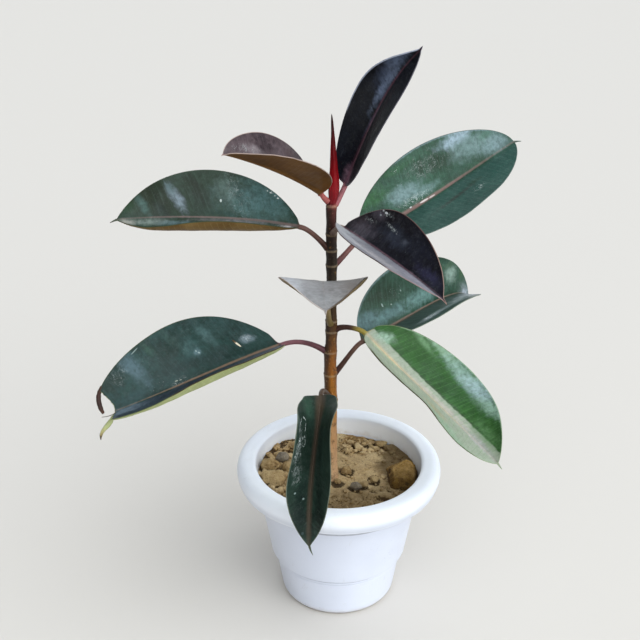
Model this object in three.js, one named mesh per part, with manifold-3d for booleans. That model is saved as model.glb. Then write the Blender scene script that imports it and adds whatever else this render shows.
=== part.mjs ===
// Young rubber plant in a white plastic nursery pot.
// Millimetres, +Z up. Origin: centre of the pot's flat base. The plant is seen from -Y; +X is to the right.
import * as THREE from "three";
import { mergeVertices } from "three/addons/utils/BufferGeometryUtils.js";
import Module from "manifold-3d";

const wasm = await Module();
wasm.setup();

// ---------------- driving dimensions ----------------
const GAP = 0.35; // clearance between touching pieces
const FACETS = 40; // facets round the pot and the soil

const POT_HEIGHT = 153;
const RIM_OUTER = 102.5; // largest radius of the rolled rim
const RIM_INNER = 83.1; // radius of the opening at the rim
const RIM_DROP = 21; // how far the rolled rim hangs down
const WALL = 2.2; // pot wall thickness
const WALL_TOP = 83.6; // outer wall radius just under the rim
const STEP_Z = 48; // height of the step in the wall
const STEP_UPPER = 69.0; // outer radius just above the step
const STEP_LOWER = 64.2; // outer radius just below the step
const BASE_R = 58.0; // outer radius at the base
const FLOOR = 3.0; // thickness of the pot's floor
const DRAIN_R = 4.0; // drain hole radius
const DRAIN_RING = 32; // radius of the ring of drain holes
const DRAIN_COUNT = 4;

const SOIL_LEVEL = 131.5; // soil surface at the stem and the back wall
// Height of the soil against the wall, by direction in degrees from +X.
const SOIL_EDGE = [[0, 134.6], [20, 134], [34, 132.9], [44, 134.2], [54, 132.7], [62, 132.7], [87, 132.1], [110, 133.6], [133, 138.7], [150, 137.6], [164, 137.9], [176, 139.7], [200, 138], [230, 134], [270, 131.8], [310, 132], [335, 134], [360, 134.6]];

// Stem: height, centre x, centre y, radius.
const STEM = [
  [62, -8.0, -1.0, 4.2], [72, -8.0, -1.0, 6.6], [112, -8.0, -1.0, 7.4], [130, -8.0, -1.0, 7.8], [140, -8.1, -0.9, 7.0], [160, -8.2, -0.7, 6.6], [185, -8.3, -0.5, 6.3],
  [213, -8.4, -0.3, 6.1], [221, -8.4, -0.3, 6.9], [229, -8.4, -0.2, 6.1], [243, -8.6, -0.1, 6.0], [250, -8.7, 0, 6.7], [257, -8.8, 0, 6.0],
  [267, -8.9, 0, 5.9], [275, -8.8, 0, 6.5], [284, -8.2, 0, 5.4], [290, -8.0, 0, 5.3], [297, -8.0, 0, 6.0], [303, -8.1, 0, 5.6], [308, -8.2, 0, 5.7], [316, -8.2, 0, 4.9],
  [336, -8.1, 0, 4.8], [358, -8.0, 0, 4.8], [366, -8.0, 0, 5.6], [373, -8.0, 0, 4.9], [381, -8.2, 0, 5.5], [389, -8.3, 0, 4.8], [397, -8.4, 0, 5.3], [405, -8.5, 0, 4.8], [420, -8.6, 0, 4.8], [425, -8.4, 0, 5.2], [427.5, -8.2, 0, 4.6],
];
const STEM_SIDES = 12;

// Bud sheath, the pointed red cap on the growing tip: height, centre x, radius.
const SHEATH = [[427.9, -8.0, 3.5], [431, -7.5, 3.3], [436, -7.1, 4.2], [441, -6.9, 4.6], [450, -6.6, 4.2], [461, -6.8, 3.3], [478, -7.2, 2.4], [494, -7.6, 1.4], [506, -8.3, 0.9], [511.5, -8.7, 0.3]];

const BLADE = 1.1; // leaf blade thickness
const KEEL = 1.5; // how far the midrib stands out under the blade
const STALK_R = 2.35; // leaf stalk radius
const ROWS = 13; // steps along a blade
const COLS = 3; // steps from midrib to margin

// Leaves. midrib: five control points of the midrib curve from blade base to tip; face: direction that the upper
// side looks to; roll: turn about the midrib in degrees, as constant, linear and square terms along the blade;
// half: greatest half width; peak and blunt: shape of the outline; fold: rise of each half from the midrib, same
// terms; curl: further rise from midrib to margin; stalk: four control points of the stalk from the stem outwards.
// opens: share of the fold left at the base, and where it is whole; shoulder: how much narrower the base is, and up to where.
// The outer end of the lower left leaf is eaten away inside this prism: one end ring, then the other.
const BITE = [
  [[-214.2, -107.0, 295.7], [-207.5, -109.9, 290.0], [-203.0, -111.7, 286.4], [-199.8, -113.6, 282.7], [-198.8, -115.5, 278.8], [-199.3, -117.1, 275.8], [-201.1, -118.6, 272.8], [-204.3, -120.7, 268.7], [-225.8, -121.6, 266.7], [-236.3, -113.3, 283.1], [-227.5, -105.8, 298.0]],
  [[-226.8, -48.1, 261.5], [-219.7, -51.1, 255.5], [-214.9, -53.1, 251.7], [-211.5, -55.1, 247.7], [-210.4, -57.1, 243.6], [-211.0, -58.8, 240.3], [-212.8, -60.4, 237.2], [-216.3, -62.6, 232.8], [-239.2, -63.7, 230.7], [-250.4, -54.8, 248.2], [-241.0, -46.8, 264.0]],
];
const LEAVES = [
  {
    name: "leaf_01_young_folded",
    midrib: [[-18.4, -2, 438.6], [-33.6, -23.8, 457.7], [-54, -43.5, 475.2], [-76.3, -62.2, 490.4], [-97.8, -80.9, 502.2]],
    face: [0.099, -0.099, 0.99],
    roll: [3.3, 4.3, -1],
    half: 32.4, peak: 0.913, blunt: 0.514,
    foldA: [41, 2, -3.2], curlA: 9.3, foldB: [37.7, -0.9, -2.4], curlB: 8.2,
    stalk: [[-9.6, -0.2, 428.5], [-17.2, -1.7, 434.1], [-16.2, 1, 436], [-18.4, -2, 438.6]],
    drip: 0.01, colour: "#5c4a52", gloss: 0.4,
  },
  {
    name: "leaf_02_top_upright",
    midrib: [[3.3, 4.7, 443.1], [17.2, 1.3, 478.3], [28, -3.8, 513.7], [41.6, -12, 546.6], [65.2, -24.5, 574.6]],
    face: [-0.749, -0.468, 0.468],
    roll: [-0.9, -16, -29.5],
    half: 30.6, peak: 0.853, blunt: 0.739,
    foldA: [15.3, -0.1, 9], curlA: 7, foldB: [17, 7.8, 16.5], curlB: 9.7,
    stalk: [[-7.7, 0.4, 424.3], [-3.3, 2.2, 425.6], [0.7, 5.3, 436.7], [3.3, 4.7, 443.1]],
    drip: 0.018, colour: "#15161d", gloss: 0.35,
  },
  {
    name: "leaf_03_upper_right",
    midrib: [[20.5, 23.6, 383.5], [62.4, 45.8, 398], [101.1, 67.4, 416.3], [136.6, 86.9, 435.6], [169.7, 102.4, 452.1]],
    face: [-0.256, -0.725, 0.64],
    roll: [1.4, -4.5, -3],
    half: 48.4, peak: 0.894, blunt: 0.564,
    foldA: [18.5, 0.4, -1.4], curlA: 12.3, foldB: [16.8, 3.6, 0.9], curlB: 8.5,
    stalk: [[-7.8, 0.6, 364.6], [2.9, 9.2, 369.2], [11, 18.6, 380.3], [20.5, 23.6, 383.5]],
    drip: 0.035, colour: "#4a6b60", gloss: 0.35,
  },
  {
    name: "leaf_04_dark_right",
    midrib: [[1.4, -21.8, 413.6], [17.7, -59.3, 418], [37.2, -95.5, 418.3], [58.5, -129.8, 415.9], [77.9, -162.6, 410.5]],
    face: [0, 0, 1],
    roll: [-8.9, -1.9, 7.4],
    half: 37.7, peak: 0.925, blunt: 0.742,
    foldA: [28.4, -4.9, -0.6], curlA: 14.2, foldB: [39.9, -3.5, -6.3], curlB: 17.4,
    stalk: [[-8.2, -0.9, 398], [-4.1, -9.8, 406.3], [-1.9, -14.2, 412.7], [1.4, -21.8, 413.6]],
    drip: 0.014, colour: "#1f1f2a", gloss: 0.35,
  },
  {
    name: "leaf_05_upper_left",
    midrib: [[-36.8, -1.4, 405.7], [-79.7, 6.1, 411.2], [-122.6, 5, 413.9], [-164.2, -4.2, 417], [-200.2, -20.9, 420.7]],
    face: [0, -0.196, 0.981],
    roll: [8.3, 5.9, 19.7],
    half: 45.8, peak: 0.955, blunt: 0.771,
    foldA: [24.8, -1.7, 6.7], curlA: 12.1, foldB: [-17, -5.9, -3.6], curlB: 107.0,
    stalk: [[-9.6, -0.1, 380.6], [-16, -0.5, 389.1], [-28.8, -2.9, 404.7], [-36.8, -1.4, 405.7]],
    drip: 0.03, colour: "#3c5450", gloss: 0.35,
  },
  {
    name: "leaf_06_front_arched",
    midrib: [[-11.6, -27.6, 335], [-15.1, -56.8, 375.4], [-17.2, -90.8, 401.1], [-17, -129.7, 411], [-14.6, -173.7, 405.3]],
    face: [0, -0.196, 0.981],
    roll: [1.4, 4.1, -1],
    half: 38.5, peak: 0.929, blunt: 0.701,
    foldA: [1.5, 3, -0.1], curlA: 4.0, foldB: [0.1, 0.2, 0.7], curlB: 14.7,
    stalk: [[-8.7, -1, 305.8], [-10.6, -15.3, 314.6], [-10.8, -20.6, 325.2], [-11.6, -27.6, 335]],
    drip: 0.03, colour: "#8f979b", gloss: 0.3,
  },
  {
    name: "leaf_07_middle_right",
    midrib: [[21.9, 25.1, 272.8], [68.4, 51.3, 284.6], [101.9, 78.1, 296.1], [122.7, 103.1, 294.2], [137.8, 126.3, 274.5]],
    face: [0, -0.196, 0.981],
    roll: [-11, -9.2, 0.5],
    half: 52.7, peak: 0.674, blunt: 0.767,
    foldA: [33.2, 0.9, -11.5], curlA: 17.4, foldB: [45.9, 9.7, -12], curlB: 16.7,
    stalk: [[-7.8, 0.6, 248.2], [-0.3, 7.7, 249.2], [14.6, 20.9, 270.9], [21.9, 25.1, 272.8]],
    drip: 0.008, colour: "#3f6055", gloss: 0.35,
  },
  {
    name: "leaf_08_lower_right",
    midrib: [[23.7, -6.6, 299.7], [57.7, -22.2, 268], [90.6, -42.3, 242.9], [119.5, -68.7, 225.2], [142.7, -102.2, 214.9]],
    face: [0.287, 0, 0.958],
    roll: [-4.4, -4.1, -20.3],
    half: 49.4, peak: 0.887, blunt: 0.594,
    foldA: [21.7, 1.6, -2], curlA: 10.5, foldB: [26.3, 4.5, 9.1], curlB: 10.5,
    stalk: [[-7.6, -0.2, 295.4], [-0.8, -1.6, 308.8], [21.8, -5.7, 301.5], [23.7, -6.6, 299.7]],
    drip: 0.03, colour: "#3e6b35", gloss: 0.35,
  },
  {
    name: "leaf_09_lower_left",
    midrib: [[-56.5, -0.4, 283.6], [-94.4, -26.2, 282.5], [-134, -50.6, 274.4], [-175.8, -72.4, 264.1], [-219.7, -89.9, 256.1]],
    face: [-0.195, -0.098, 0.976],
    roll: [3.2, 7.5, -2.9],
    half: 55.6, peak: 0.965, blunt: 0.467,
    foldA: [45.4, 9.2, -17.3], curlA: 13.6, foldB: [2.8, 3.6, -11.7], curlB: 59.0,
    stalk: [[-9.6, -0, 272.9], [-28.1, -0.1, 288], [-44.5, 7.8, 284], [-56.5, -0.4, 283.6]],
    drip: 0.02, colour: "#33473f", gloss: 0.35, bite: BITE,
  },
  {
    name: "leaf_10_front_hanging",
    midrib: [[-18, -44, 252.6], [-18, -72.8, 250.5], [-24.9, -94.7, 225.6], [-29.7, -110, 185.5], [-29.1, -119.9, 135]],
    face: [0, -0.894, 0.447],
    roll: [0.1, 1.5, -4.9],
    half: 40.5, peak: 0.936, blunt: 0.864, opens: [0.489, 0.365], shoulder: [0.161, 0.431],
    foldA: [53.5, -11.7, -35.1], curlA: 13.6, foldB: [60.6, -13.3, -34.2], curlB: 18.1,
    stalk: [[-8.8, -1, 223.1], [-12.3, -19.5, 240], [-17.6, -28, 254], [-18, -44, 252.6]],
    drip: 0.04, colour: "#15241f", gloss: 0.35,
  },
];

// Clods and stones on the soil: name, centre, radius, stretch, seed, colour.
const CLODS = [
  ["clod_left_big", [-66.5, -15.0, 138.5], 11.4, [1.0, 0.9, 0.8], 3, "#93805f"],
  ["clod_left_upper", [-69.0, 8.5, 138.6], 8.6, [1.05, 0.85, 0.7], 7, "#86704f"],
  ["stone_left_grey", [-57.6, 25.2, 138.6], 6.0, [1.0, 0.85, 0.8], 11, "#7d7466"],
  ["clod_left_inner", [-51.6, 8.5, 137.0], 5.6, [0.9, 1.0, 0.8], 13, "#8f7a56"],
  ["clod_right_big", [65.5, -6.0, 139.0], 13.0, [0.95, 1.1, 0.72], 17, "#93733c"],
  ["crumb_by_stem_front", [-1.0, -12.5, 133.6], 3.2, [1.1, 1.0, 0.9], 19, "#a08a63"],
  ["stone_front_grey", [17.0, -20.0, 132.6], 4.6, [1.1, 0.9, 0.75], 23, "#77736a"],
  ["clod_front_middle", [25.6, -16.6, 132.6], 4.0, [1.0, 0.9, 0.8], 29, "#857152"],
  ["clod_front_right", [35.6, -8.0, 132.6], 4.2, [0.9, 1.1, 0.8], 31, "#9c8763"],
  ["clod_by_stem_right", [8.2, 7.6, 132.8], 4.9, [1.0, 1.1, 0.85], 37, "#9a845d"],
  ["crumb_back_left", [19.5, 56.0, 131.9], 2.7, [1.1, 1.0, 0.8], 41, "#7b6546"],
  ["crumb_back_middle", [27.6, 58.8, 131.9], 2.9, [1.0, 0.9, 0.8], 43, "#806a49"],
  ["crumb_back_right", [35.0, 54.6, 131.9], 2.6, [1.0, 1.0, 0.8], 47, "#7a6444"],
  ["clod_back_right", [45.9, 58.6, 132.4], 5.2, [1.15, 0.9, 0.55], 53, "#86704d"],
];

// ---------------- helpers ----------------
const V = (x, y, z) => new THREE.Vector3(x, y, z);
const rad = THREE.MathUtils.degToRad;

// Closed body through a run of closed rings with equal point counts, capped at both ends.
function loft(rings) {
  const n = rings[0].length, pos = [], idx = [];
  for (const ring of rings) for (const p of ring) pos.push(p.x, p.y, p.z);
  for (let i = 0; i + 1 < rings.length; i++)
    for (let j = 0; j < n; j++) {
      const a = i * n + j, b = i * n + ((j + 1) % n), c = a + n, d = b + n;
      idx.push(a, b, d, a, d, c);
    }
  for (const end of [0, rings.length - 1]) {
    const m = rings[end].reduce((s, p) => s.add(p), V(0, 0, 0)).multiplyScalar(1 / n);
    const k = pos.length / 3;
    pos.push(m.x, m.y, m.z);
    for (let j = 0; j < n; j++) {
      const a = end * n + j, b = end * n + ((j + 1) % n);
      if (end === 0) idx.push(k, b, a);
      else idx.push(k, a, b);
    }
  }
  return outward(pos, idx);
}

// Geometry from positions and indices, with its faces turned outwards.
function outward(pos, idx) {
  let v = 0;
  const p = (i) => V(pos[3 * i], pos[3 * i + 1], pos[3 * i + 2]);
  for (let i = 0; i < idx.length; i += 3) v += p(idx[i]).dot(p(idx[i + 1]).cross(p(idx[i + 2])));
  if (v < 0) for (let i = 0; i < idx.length; i += 3) [idx[i + 1], idx[i + 2]] = [idx[i + 2], idx[i + 1]];
  const g = new THREE.BufferGeometry();
  g.setAttribute("position", new THREE.Float32BufferAttribute(pos, 3));
  g.setIndex(idx);
  return g;
}

function toSolid(geometry) {
  const g = geometry.clone();
  for (const name of Object.keys(g.attributes)) if (name !== "position") g.deleteAttribute(name);
  const m = mergeVertices(g, 1e-4);
  return new wasm.Manifold(new wasm.Mesh({ numProp: 3, vertProperties: new Float32Array(m.attributes.position.array), triVerts: new Uint32Array(m.index.array) }));
}

function fromSolid(solid) {
  const m = solid.getMesh();
  const g = new THREE.BufferGeometry();
  g.setAttribute("position", new THREE.Float32BufferAttribute(m.vertProperties, 3));
  g.setIndex(Array.from(m.triVerts));
  g.computeVertexNormals();
  return g;
}

// Only the largest body of a cut piece is kept, so no loose sliver stays behind.
function largest(solid) {
  return solid.decompose().sort((a, b) => b.volume() - a.volume())[0];
}

function bezier(points, s) {
  let p = points.map((q) => V(...q));
  while (p.length > 1) p = p.slice(1).map((q, i) => p[i].clone().lerp(q, s));
  return p[0];
}

function bezierTangent(points, s) {
  const d = points.slice(1).map((q, i) => [q[0] - points[i][0], q[1] - points[i][1], q[2] - points[i][2]]);
  return bezier(d, s).normalize();
}

// Round bar through centres with radii; the ring turns as little as possible from one centre to the next.
function bar(centres, radii, sides) {
  const rings = [];
  let side = null;
  centres.forEach((c, i) => {
    const t = centres[Math.min(i + 1, centres.length - 1)].clone().sub(centres[Math.max(i - 1, 0)]).normalize();
    if (!side) side = Math.abs(t.z) > 0.8 ? V(1, 0, 0) : V(0, 0, 1);
    side = side.clone().addScaledVector(t, -side.dot(t)).normalize();
    const other = t.clone().cross(side);
    const ring = [];
    for (let j = 0; j < sides; j++) {
      const a = (2 * Math.PI * j) / sides;
      ring.push(c.clone().addScaledVector(side, radii[i] * Math.cos(a)).addScaledVector(other, radii[i] * Math.sin(a)));
    }
    rings.push(ring);
  });
  return loft(rings);
}

// Repeatable number in [-1, 1] from a direction and a seed, smooth over the sphere.
function lump(d, seed) {
  let s = 0;
  for (let k = 1; k <= 4; k++) {
    const a = Math.sin(seed * 12.9898 + k * 78.233) * 43758.5453, b = Math.sin(seed * 39.425 + k * 11.135) * 24634.6345;
    const ax = V(Math.sin(a), Math.cos(a * 1.3), Math.sin(b)).normalize();
    s += Math.sin(2.1 * k * d.dot(ax) + b) / k;
  }
  return s / 1.6;
}

// ---------------- pot ----------------
const innerRadius = (z) => {
  const pts = POT_INNER;
  for (let i = 0; i + 1 < pts.length; i++) if (z <= pts[i + 1][1]) return pts[i][0] + ((pts[i + 1][0] - pts[i][0]) * (z - pts[i][1])) / (pts[i + 1][1] - pts[i][1]);
  return pts[pts.length - 1][0];
};
const RIM_LOW = POT_HEIGHT - RIM_DROP;
const POT_INNER = [
  [BASE_R - 4.2, FLOOR], [BASE_R - 2.2, 6.5], [STEP_LOWER - WALL, STEP_Z - 3.5], [STEP_UPPER - WALL, STEP_Z + 2.2], [WALL_TOP - WALL, RIM_LOW], [RIM_INNER, POT_HEIGHT - 4],
];

function potGeometry() {
  const outline = [
    [0, FLOOR], ...POT_INNER,
    [RIM_INNER + 0.5, POT_HEIGHT - 2.2], [RIM_INNER + 2.4, POT_HEIGHT - 0.8], [90, POT_HEIGHT - 0.1], [95, POT_HEIGHT], [98.6, POT_HEIGHT - 1.2], [101.2, POT_HEIGHT - 3.8],
    [RIM_OUTER - 0.1, POT_HEIGHT - 7.5], [RIM_OUTER, POT_HEIGHT - 11], [RIM_OUTER - 1, POT_HEIGHT - 16], [99.8, RIM_LOW + 0.8], [98.6, RIM_LOW], [97.4, RIM_LOW + 0.7],
    [98.9, POT_HEIGHT - 12], [98.6, POT_HEIGHT - 7], [95.5, POT_HEIGHT - 3.2], [89, POT_HEIGHT - 3.2], [86.2, POT_HEIGHT - 5.5], [WALL_TOP + 0.9, RIM_LOW + 6],
    [WALL_TOP, RIM_LOW - 1], [STEP_UPPER + 0.2, STEP_Z + 2.4], [STEP_UPPER - 0.4, STEP_Z + 0.2], [STEP_LOWER + 1.4, STEP_Z - 1.6], [STEP_LOWER, STEP_Z - 4.4],
    [BASE_R + 0.9, 9], [BASE_R - 0.2, 3.6], [BASE_R - 2.4, 1.0], [BASE_R - 5, 0], [0, 0],
  ].map(([r, z]) => new THREE.Vector2(r, z));
  // LatheGeometry turns about Y; the turned body is stood up on Z.
  let solid = toSolid(new THREE.LatheGeometry(outline, FACETS).rotateX(Math.PI / 2));
  if (solid.volume() < 0) {
    outline.reverse();
    solid = toSolid(new THREE.LatheGeometry(outline, FACETS).rotateX(Math.PI / 2));
  }
  for (let i = 0; i < DRAIN_COUNT; i++) {
    const a = (2 * Math.PI * (i + 0.5)) / DRAIN_COUNT;
    const hole = new THREE.CylinderGeometry(DRAIN_R, DRAIN_R, FLOOR * 4, 12).rotateX(Math.PI / 2).translate(DRAIN_RING * Math.cos(a), DRAIN_RING * Math.sin(a), FLOOR / 2);
    solid = solid.subtract(toSolid(hole));
  }
  return solid;
}

// ---------------- stem and bud sheath ----------------
function stemSolid(extra) {
  const c = STEM.map(([z, x, y], i) => V(x, y, z + (i === 0 ? -extra : i === STEM.length - 1 ? extra : 0)));
  return toSolid(bar(c, STEM.map((s) => s[3] + extra), STEM_SIDES));
}
function sheathSolid(extra) {
  const c = SHEATH.map(([z, x], i) => V(x, 0, z + (i === 0 ? -extra : i === SHEATH.length - 1 ? extra : 0)));
  return toSolid(bar(c, SHEATH.map((s) => s[2] + extra), 10));
}

// ---------------- soil ----------------
function edgeHeight(deg) {
  const d = ((deg % 360) + 360) % 360;
  for (let i = 0; i + 1 < SOIL_EDGE.length; i++) {
    const [a, h] = SOIL_EDGE[i], [b, k] = SOIL_EDGE[i + 1];
    if (d <= b) return h + ((k - h) * (d - a)) / (b - a);
  }
  return SOIL_EDGE[0][1];
}
function soilHeight(x, y, f) {
  const deg = THREE.MathUtils.radToDeg(Math.atan2(y, x));
  const rise = (edgeHeight(deg) - SOIL_LEVEL) * f ** 2.6;
  const bumps = 0.7 * Math.sin(x * 0.16 + 1.3) * Math.cos(y * 0.19 - 0.6) + 0.45 * Math.sin(x * 0.41 + y * 0.33);
  return SOIL_LEVEL + rise + bumps * (1 - f ** 6);
}
function soilSolid() {
  const steps = [0.12, 0.24, 0.37, 0.5, 0.63, 0.76, 0.88, 1];
  const pos = [], idx = [];
  const row = (fn) => {
    const start = pos.length / 3;
    for (let j = 0; j < FACETS; j++) {
      const a = (2 * Math.PI * j) / FACETS - Math.PI / 2;
      pos.push(...fn(Math.cos(a), Math.sin(a)));
    }
    return start;
  };
  const join = (a, b) => {
    for (let j = 0; j < FACETS; j++) {
      const k = (j + 1) % FACETS;
      idx.push(a + j, b + j, b + k, a + j, b + k, a + k);
    }
  };
  pos.push(0, 0, soilHeight(0, 0, 0));
  const rows = steps.map((f) => row((c, s) => {
    const h = edgeHeight(THREE.MathUtils.radToDeg(Math.atan2(s, c)));
    const r = (innerRadius(h) - GAP) * f;
    return [r * c, r * s, soilHeight(r * c, r * s, f)];
  }));
  for (let j = 0; j < FACETS; j++) idx.push(0, rows[0] + j, rows[0] + ((j + 1) % FACETS));
  for (let i = 0; i + 1 < rows.length; i++) join(rows[i], rows[i + 1]);
  let last = rows[rows.length - 1];
  for (const z of [STEP_Z + 2.2, STEP_Z - 3.5, 7, FLOOR + GAP]) {
    const next = row((c, s) => [(innerRadius(z) - GAP - 0.05) * c, (innerRadius(z) - GAP - 0.05) * s, z]);
    join(last, next);
    last = next;
  }
  const k = pos.length / 3;
  pos.push(0, 0, FLOOR + GAP);
  for (let j = 0; j < FACETS; j++) idx.push(k, last + ((j + 1) % FACETS), last + j);
  return toSolid(outward(pos, idx));
}

function clodSolid([, centre, r, stretch, seed], extra) {
  const g = mergeVertices(new THREE.IcosahedronGeometry(1, r > 5 ? 2 : 1).deleteAttribute("normal").deleteAttribute("uv"), 1e-4);
  const p = g.attributes.position, c = V(...centre);
  for (let i = 0; i < p.count; i++) {
    const d = V(p.getX(i), p.getY(i), p.getZ(i)).normalize();
    const q = d.clone().multiply(V(...stretch)).multiplyScalar(r * (1 + 0.16 * lump(d, seed)) + extra * 1.5).add(c);
    const most = innerRadius(q.z) - 0.8 + extra, now = Math.hypot(q.x, q.y);
    if (now > most) q.set((q.x * most) / now, (q.y * most) / now, q.z);
    p.setXYZ(i, q.x, q.y, q.z);
  }
  return toSolid(outward(Array.from(p.array), Array.from(g.index.array)));
}

// ---------------- leaves ----------------
const smooth = (s, end) => { const t = Math.min(Math.max(s / end, 0), 1); return t * t * (3 - 2 * t); };
function outlineShape(s, leaf) {
  const [less, reach] = leaf.shoulder ?? [0, 1];
  return Math.sin(Math.PI * Math.min(Math.max(s, 0), 1) ** leaf.peak) ** leaf.blunt * (1 - less * (1 - smooth(s, reach)));
}

// Midrib point, side direction and upper direction of a leaf at s.
function leafFrame(leaf, s) {
  const m = bezier(leaf.midrib, s), t = bezierTangent(leaf.midrib, s);
  const side = t.clone().cross(V(...leaf.face)).normalize(), up = side.clone().cross(t);
  const u = 2 * s - 1, a = rad(leaf.roll[0] + leaf.roll[1] * u + leaf.roll[2] * u * u);
  return {
    m, t,
    side: side.clone().multiplyScalar(Math.cos(a)).addScaledVector(up, Math.sin(a)),
    up: up.clone().multiplyScalar(Math.cos(a)).addScaledVector(side, -Math.sin(a)),
  };
}

// Point and surface direction of a leaf at s along and v across, v from -1 to 1.
function leafPoint(leaf, s, v, width) {
  const { m, side, up } = leafFrame(leaf, s);
  const sign = v < 0 ? -1 : 1, u = 2 * s - 1, w = Math.abs(v);
  const open = leaf.opens ? leaf.opens[0] + (1 - leaf.opens[0]) * smooth(s, leaf.opens[1]) : 1;
  const fold = sign > 0 ? leaf.foldA : leaf.foldB, curl = rad(sign > 0 ? leaf.curlA : leaf.curlB) * open;
  const f = rad(fold[0] + fold[1] * u + fold[2] * u * u) * open;
  const across = (Math.sin(f + curl * w) - Math.sin(f)) / curl, rise = (Math.cos(f) - Math.cos(f + curl * w)) / curl;
  const point = m.clone().addScaledVector(side, sign * across * width).addScaledVector(up, rise * width);
  const angle = w < 1e-6 ? 0 : f + curl * w;
  const normal = up.clone().multiplyScalar(Math.cos(angle)).addScaledVector(side, -sign * Math.sin(angle));
  return { point, normal };
}

function leafSolid(leaf, stemFat, sheathFat) {
  const rings = [];
  const stations = [];
  for (let i = 0; i < ROWS; i++) {
    const s = 0.5 - 0.5 * Math.cos((Math.PI * i) / (ROWS - 1));
    stations.push([s, Math.max(leaf.half * outlineShape(s, leaf), i === 0 ? 1.6 : 1.3)]);
  }
  stations.push([1 + leaf.drip * 0.5, 0.9], [1 + leaf.drip, 0.5]);
  for (const [s, width] of stations) {
    const top = [], low = [];
    for (let k = -COLS; k <= COLS; k++) {
      const v = Math.sign(k) * (Math.abs(k) / COLS) ** 0.85;
      const { point, normal } = leafPoint(leaf, s, v, width);
      top.push(point.clone().addScaledVector(normal, BLADE / 2));
      const keel = k === 0 && s < 1 ? KEEL * (1 - s) ** 0.8 : 0;
      low.unshift(point.clone().addScaledVector(normal, -BLADE / 2 - keel));
    }
    rings.push([...top, ...low]);
  }
  let solid = toSolid(loft(rings));
  if (leaf.bite) {
    solid = solid.subtract(toSolid(loft(leaf.bite.map((ring) => ring.map((p) => V(...p))))));
  }
  const centres = [], radii = [];
  for (let i = 0; i <= 7; i++) {
    const t = i / 7;
    centres.push(bezier(leaf.stalk, t).addScaledVector(leafFrame(leaf, 0).up, -0.9 * t ** 3));
    radii.push(STALK_R + 0.9 * (1 - t) ** 4 + 0.15 * t ** 3);
  }
  for (const [s, r, d] of [[0.035, 1.9, 1.3], [0.08, 1.3, 1.2], [0.14, 0.8, 1.0]]) {
    const f = leafFrame(leaf, s);
    centres.push(f.m.addScaledVector(f.up, -d));
    radii.push(r);
  }
  solid = solid.add(toSolid(bar(centres, radii, 8)));
  return largest(solid.subtract(stemFat).subtract(sheathFat));
}

// ---------------- assembly ----------------
const plant = new THREE.Group();
plant.name = "potted_rubber_plant";
function place(name, solid, colour, roughness, metalness = 0) {
  const mesh = new THREE.Mesh(fromSolid(solid), new THREE.MeshStandardMaterial({ color: colour, roughness, metalness }));
  mesh.name = name;
  plant.add(mesh);
}

const stemFat = stemSolid(GAP), sheathFat = sheathSolid(GAP);
place("pot", potGeometry(), "#e9ecf2", 0.35);

let soil = soilSolid().subtract(stemFat);
const clods = [];
for (const clod of CLODS) {
  let solid = clodSolid(clod, 0).subtract(stemFat);
  for (const other of clods) solid = solid.subtract(clodSolid(other.data, GAP));
  clods.push({ data: clod, solid: largest(solid) });
  soil = soil.subtract(clodSolid(clod, GAP));
}
place("soil", largest(soil), "#8c7657", 0.95);
for (const { data, solid } of clods) place(data[0], solid, data[5], 0.95);

place("stem", stemSolid(0), "#7a5230", 0.6);
place("bud_sheath", sheathSolid(0), "#8a0f1c", 0.45);
for (const leaf of LEAVES) place(leaf.name, leafSolid(leaf, stemFat, sheathFat), leaf.colour, leaf.gloss);

export default plant;
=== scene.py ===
import math
import random

import bpy
import numpy as np
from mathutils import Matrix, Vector, noise


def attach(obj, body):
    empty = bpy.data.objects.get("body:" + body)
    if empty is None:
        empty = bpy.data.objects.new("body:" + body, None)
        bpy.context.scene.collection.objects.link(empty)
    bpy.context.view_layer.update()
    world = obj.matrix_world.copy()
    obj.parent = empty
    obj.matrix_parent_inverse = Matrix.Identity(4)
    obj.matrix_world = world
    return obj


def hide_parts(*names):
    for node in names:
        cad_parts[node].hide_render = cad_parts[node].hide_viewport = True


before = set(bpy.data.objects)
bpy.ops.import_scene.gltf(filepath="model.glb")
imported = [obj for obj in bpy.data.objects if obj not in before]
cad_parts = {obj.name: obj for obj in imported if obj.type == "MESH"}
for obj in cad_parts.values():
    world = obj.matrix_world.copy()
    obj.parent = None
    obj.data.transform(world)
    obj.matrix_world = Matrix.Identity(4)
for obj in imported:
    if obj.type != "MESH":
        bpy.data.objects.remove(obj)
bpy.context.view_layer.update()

random.seed(7)
scene = bpy.context.scene
scene.view_settings.view_transform = "Standard"
scene.view_settings.look = "None"
scene.view_settings.exposure = 0.0
scene.view_settings.gamma = 1.0
scene.cycles.use_denoising = True

# ------------------------------------------------------------------ camera
cam_data = bpy.data.cameras.new("camera")
cam = bpy.data.objects.new("camera", cam_data)
scene.collection.objects.link(cam)
cam.location = (-0.018885, -1.018748, 0.823966)
cam.rotation_euler = (math.radians(90 - 26.8), 0, 0)
cam_data.sensor_fit = "HORIZONTAL"
cam_data.sensor_width = 36
cam_data.lens = 67.5
cam_data.clip_start = 0.01
scene.camera = cam

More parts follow.
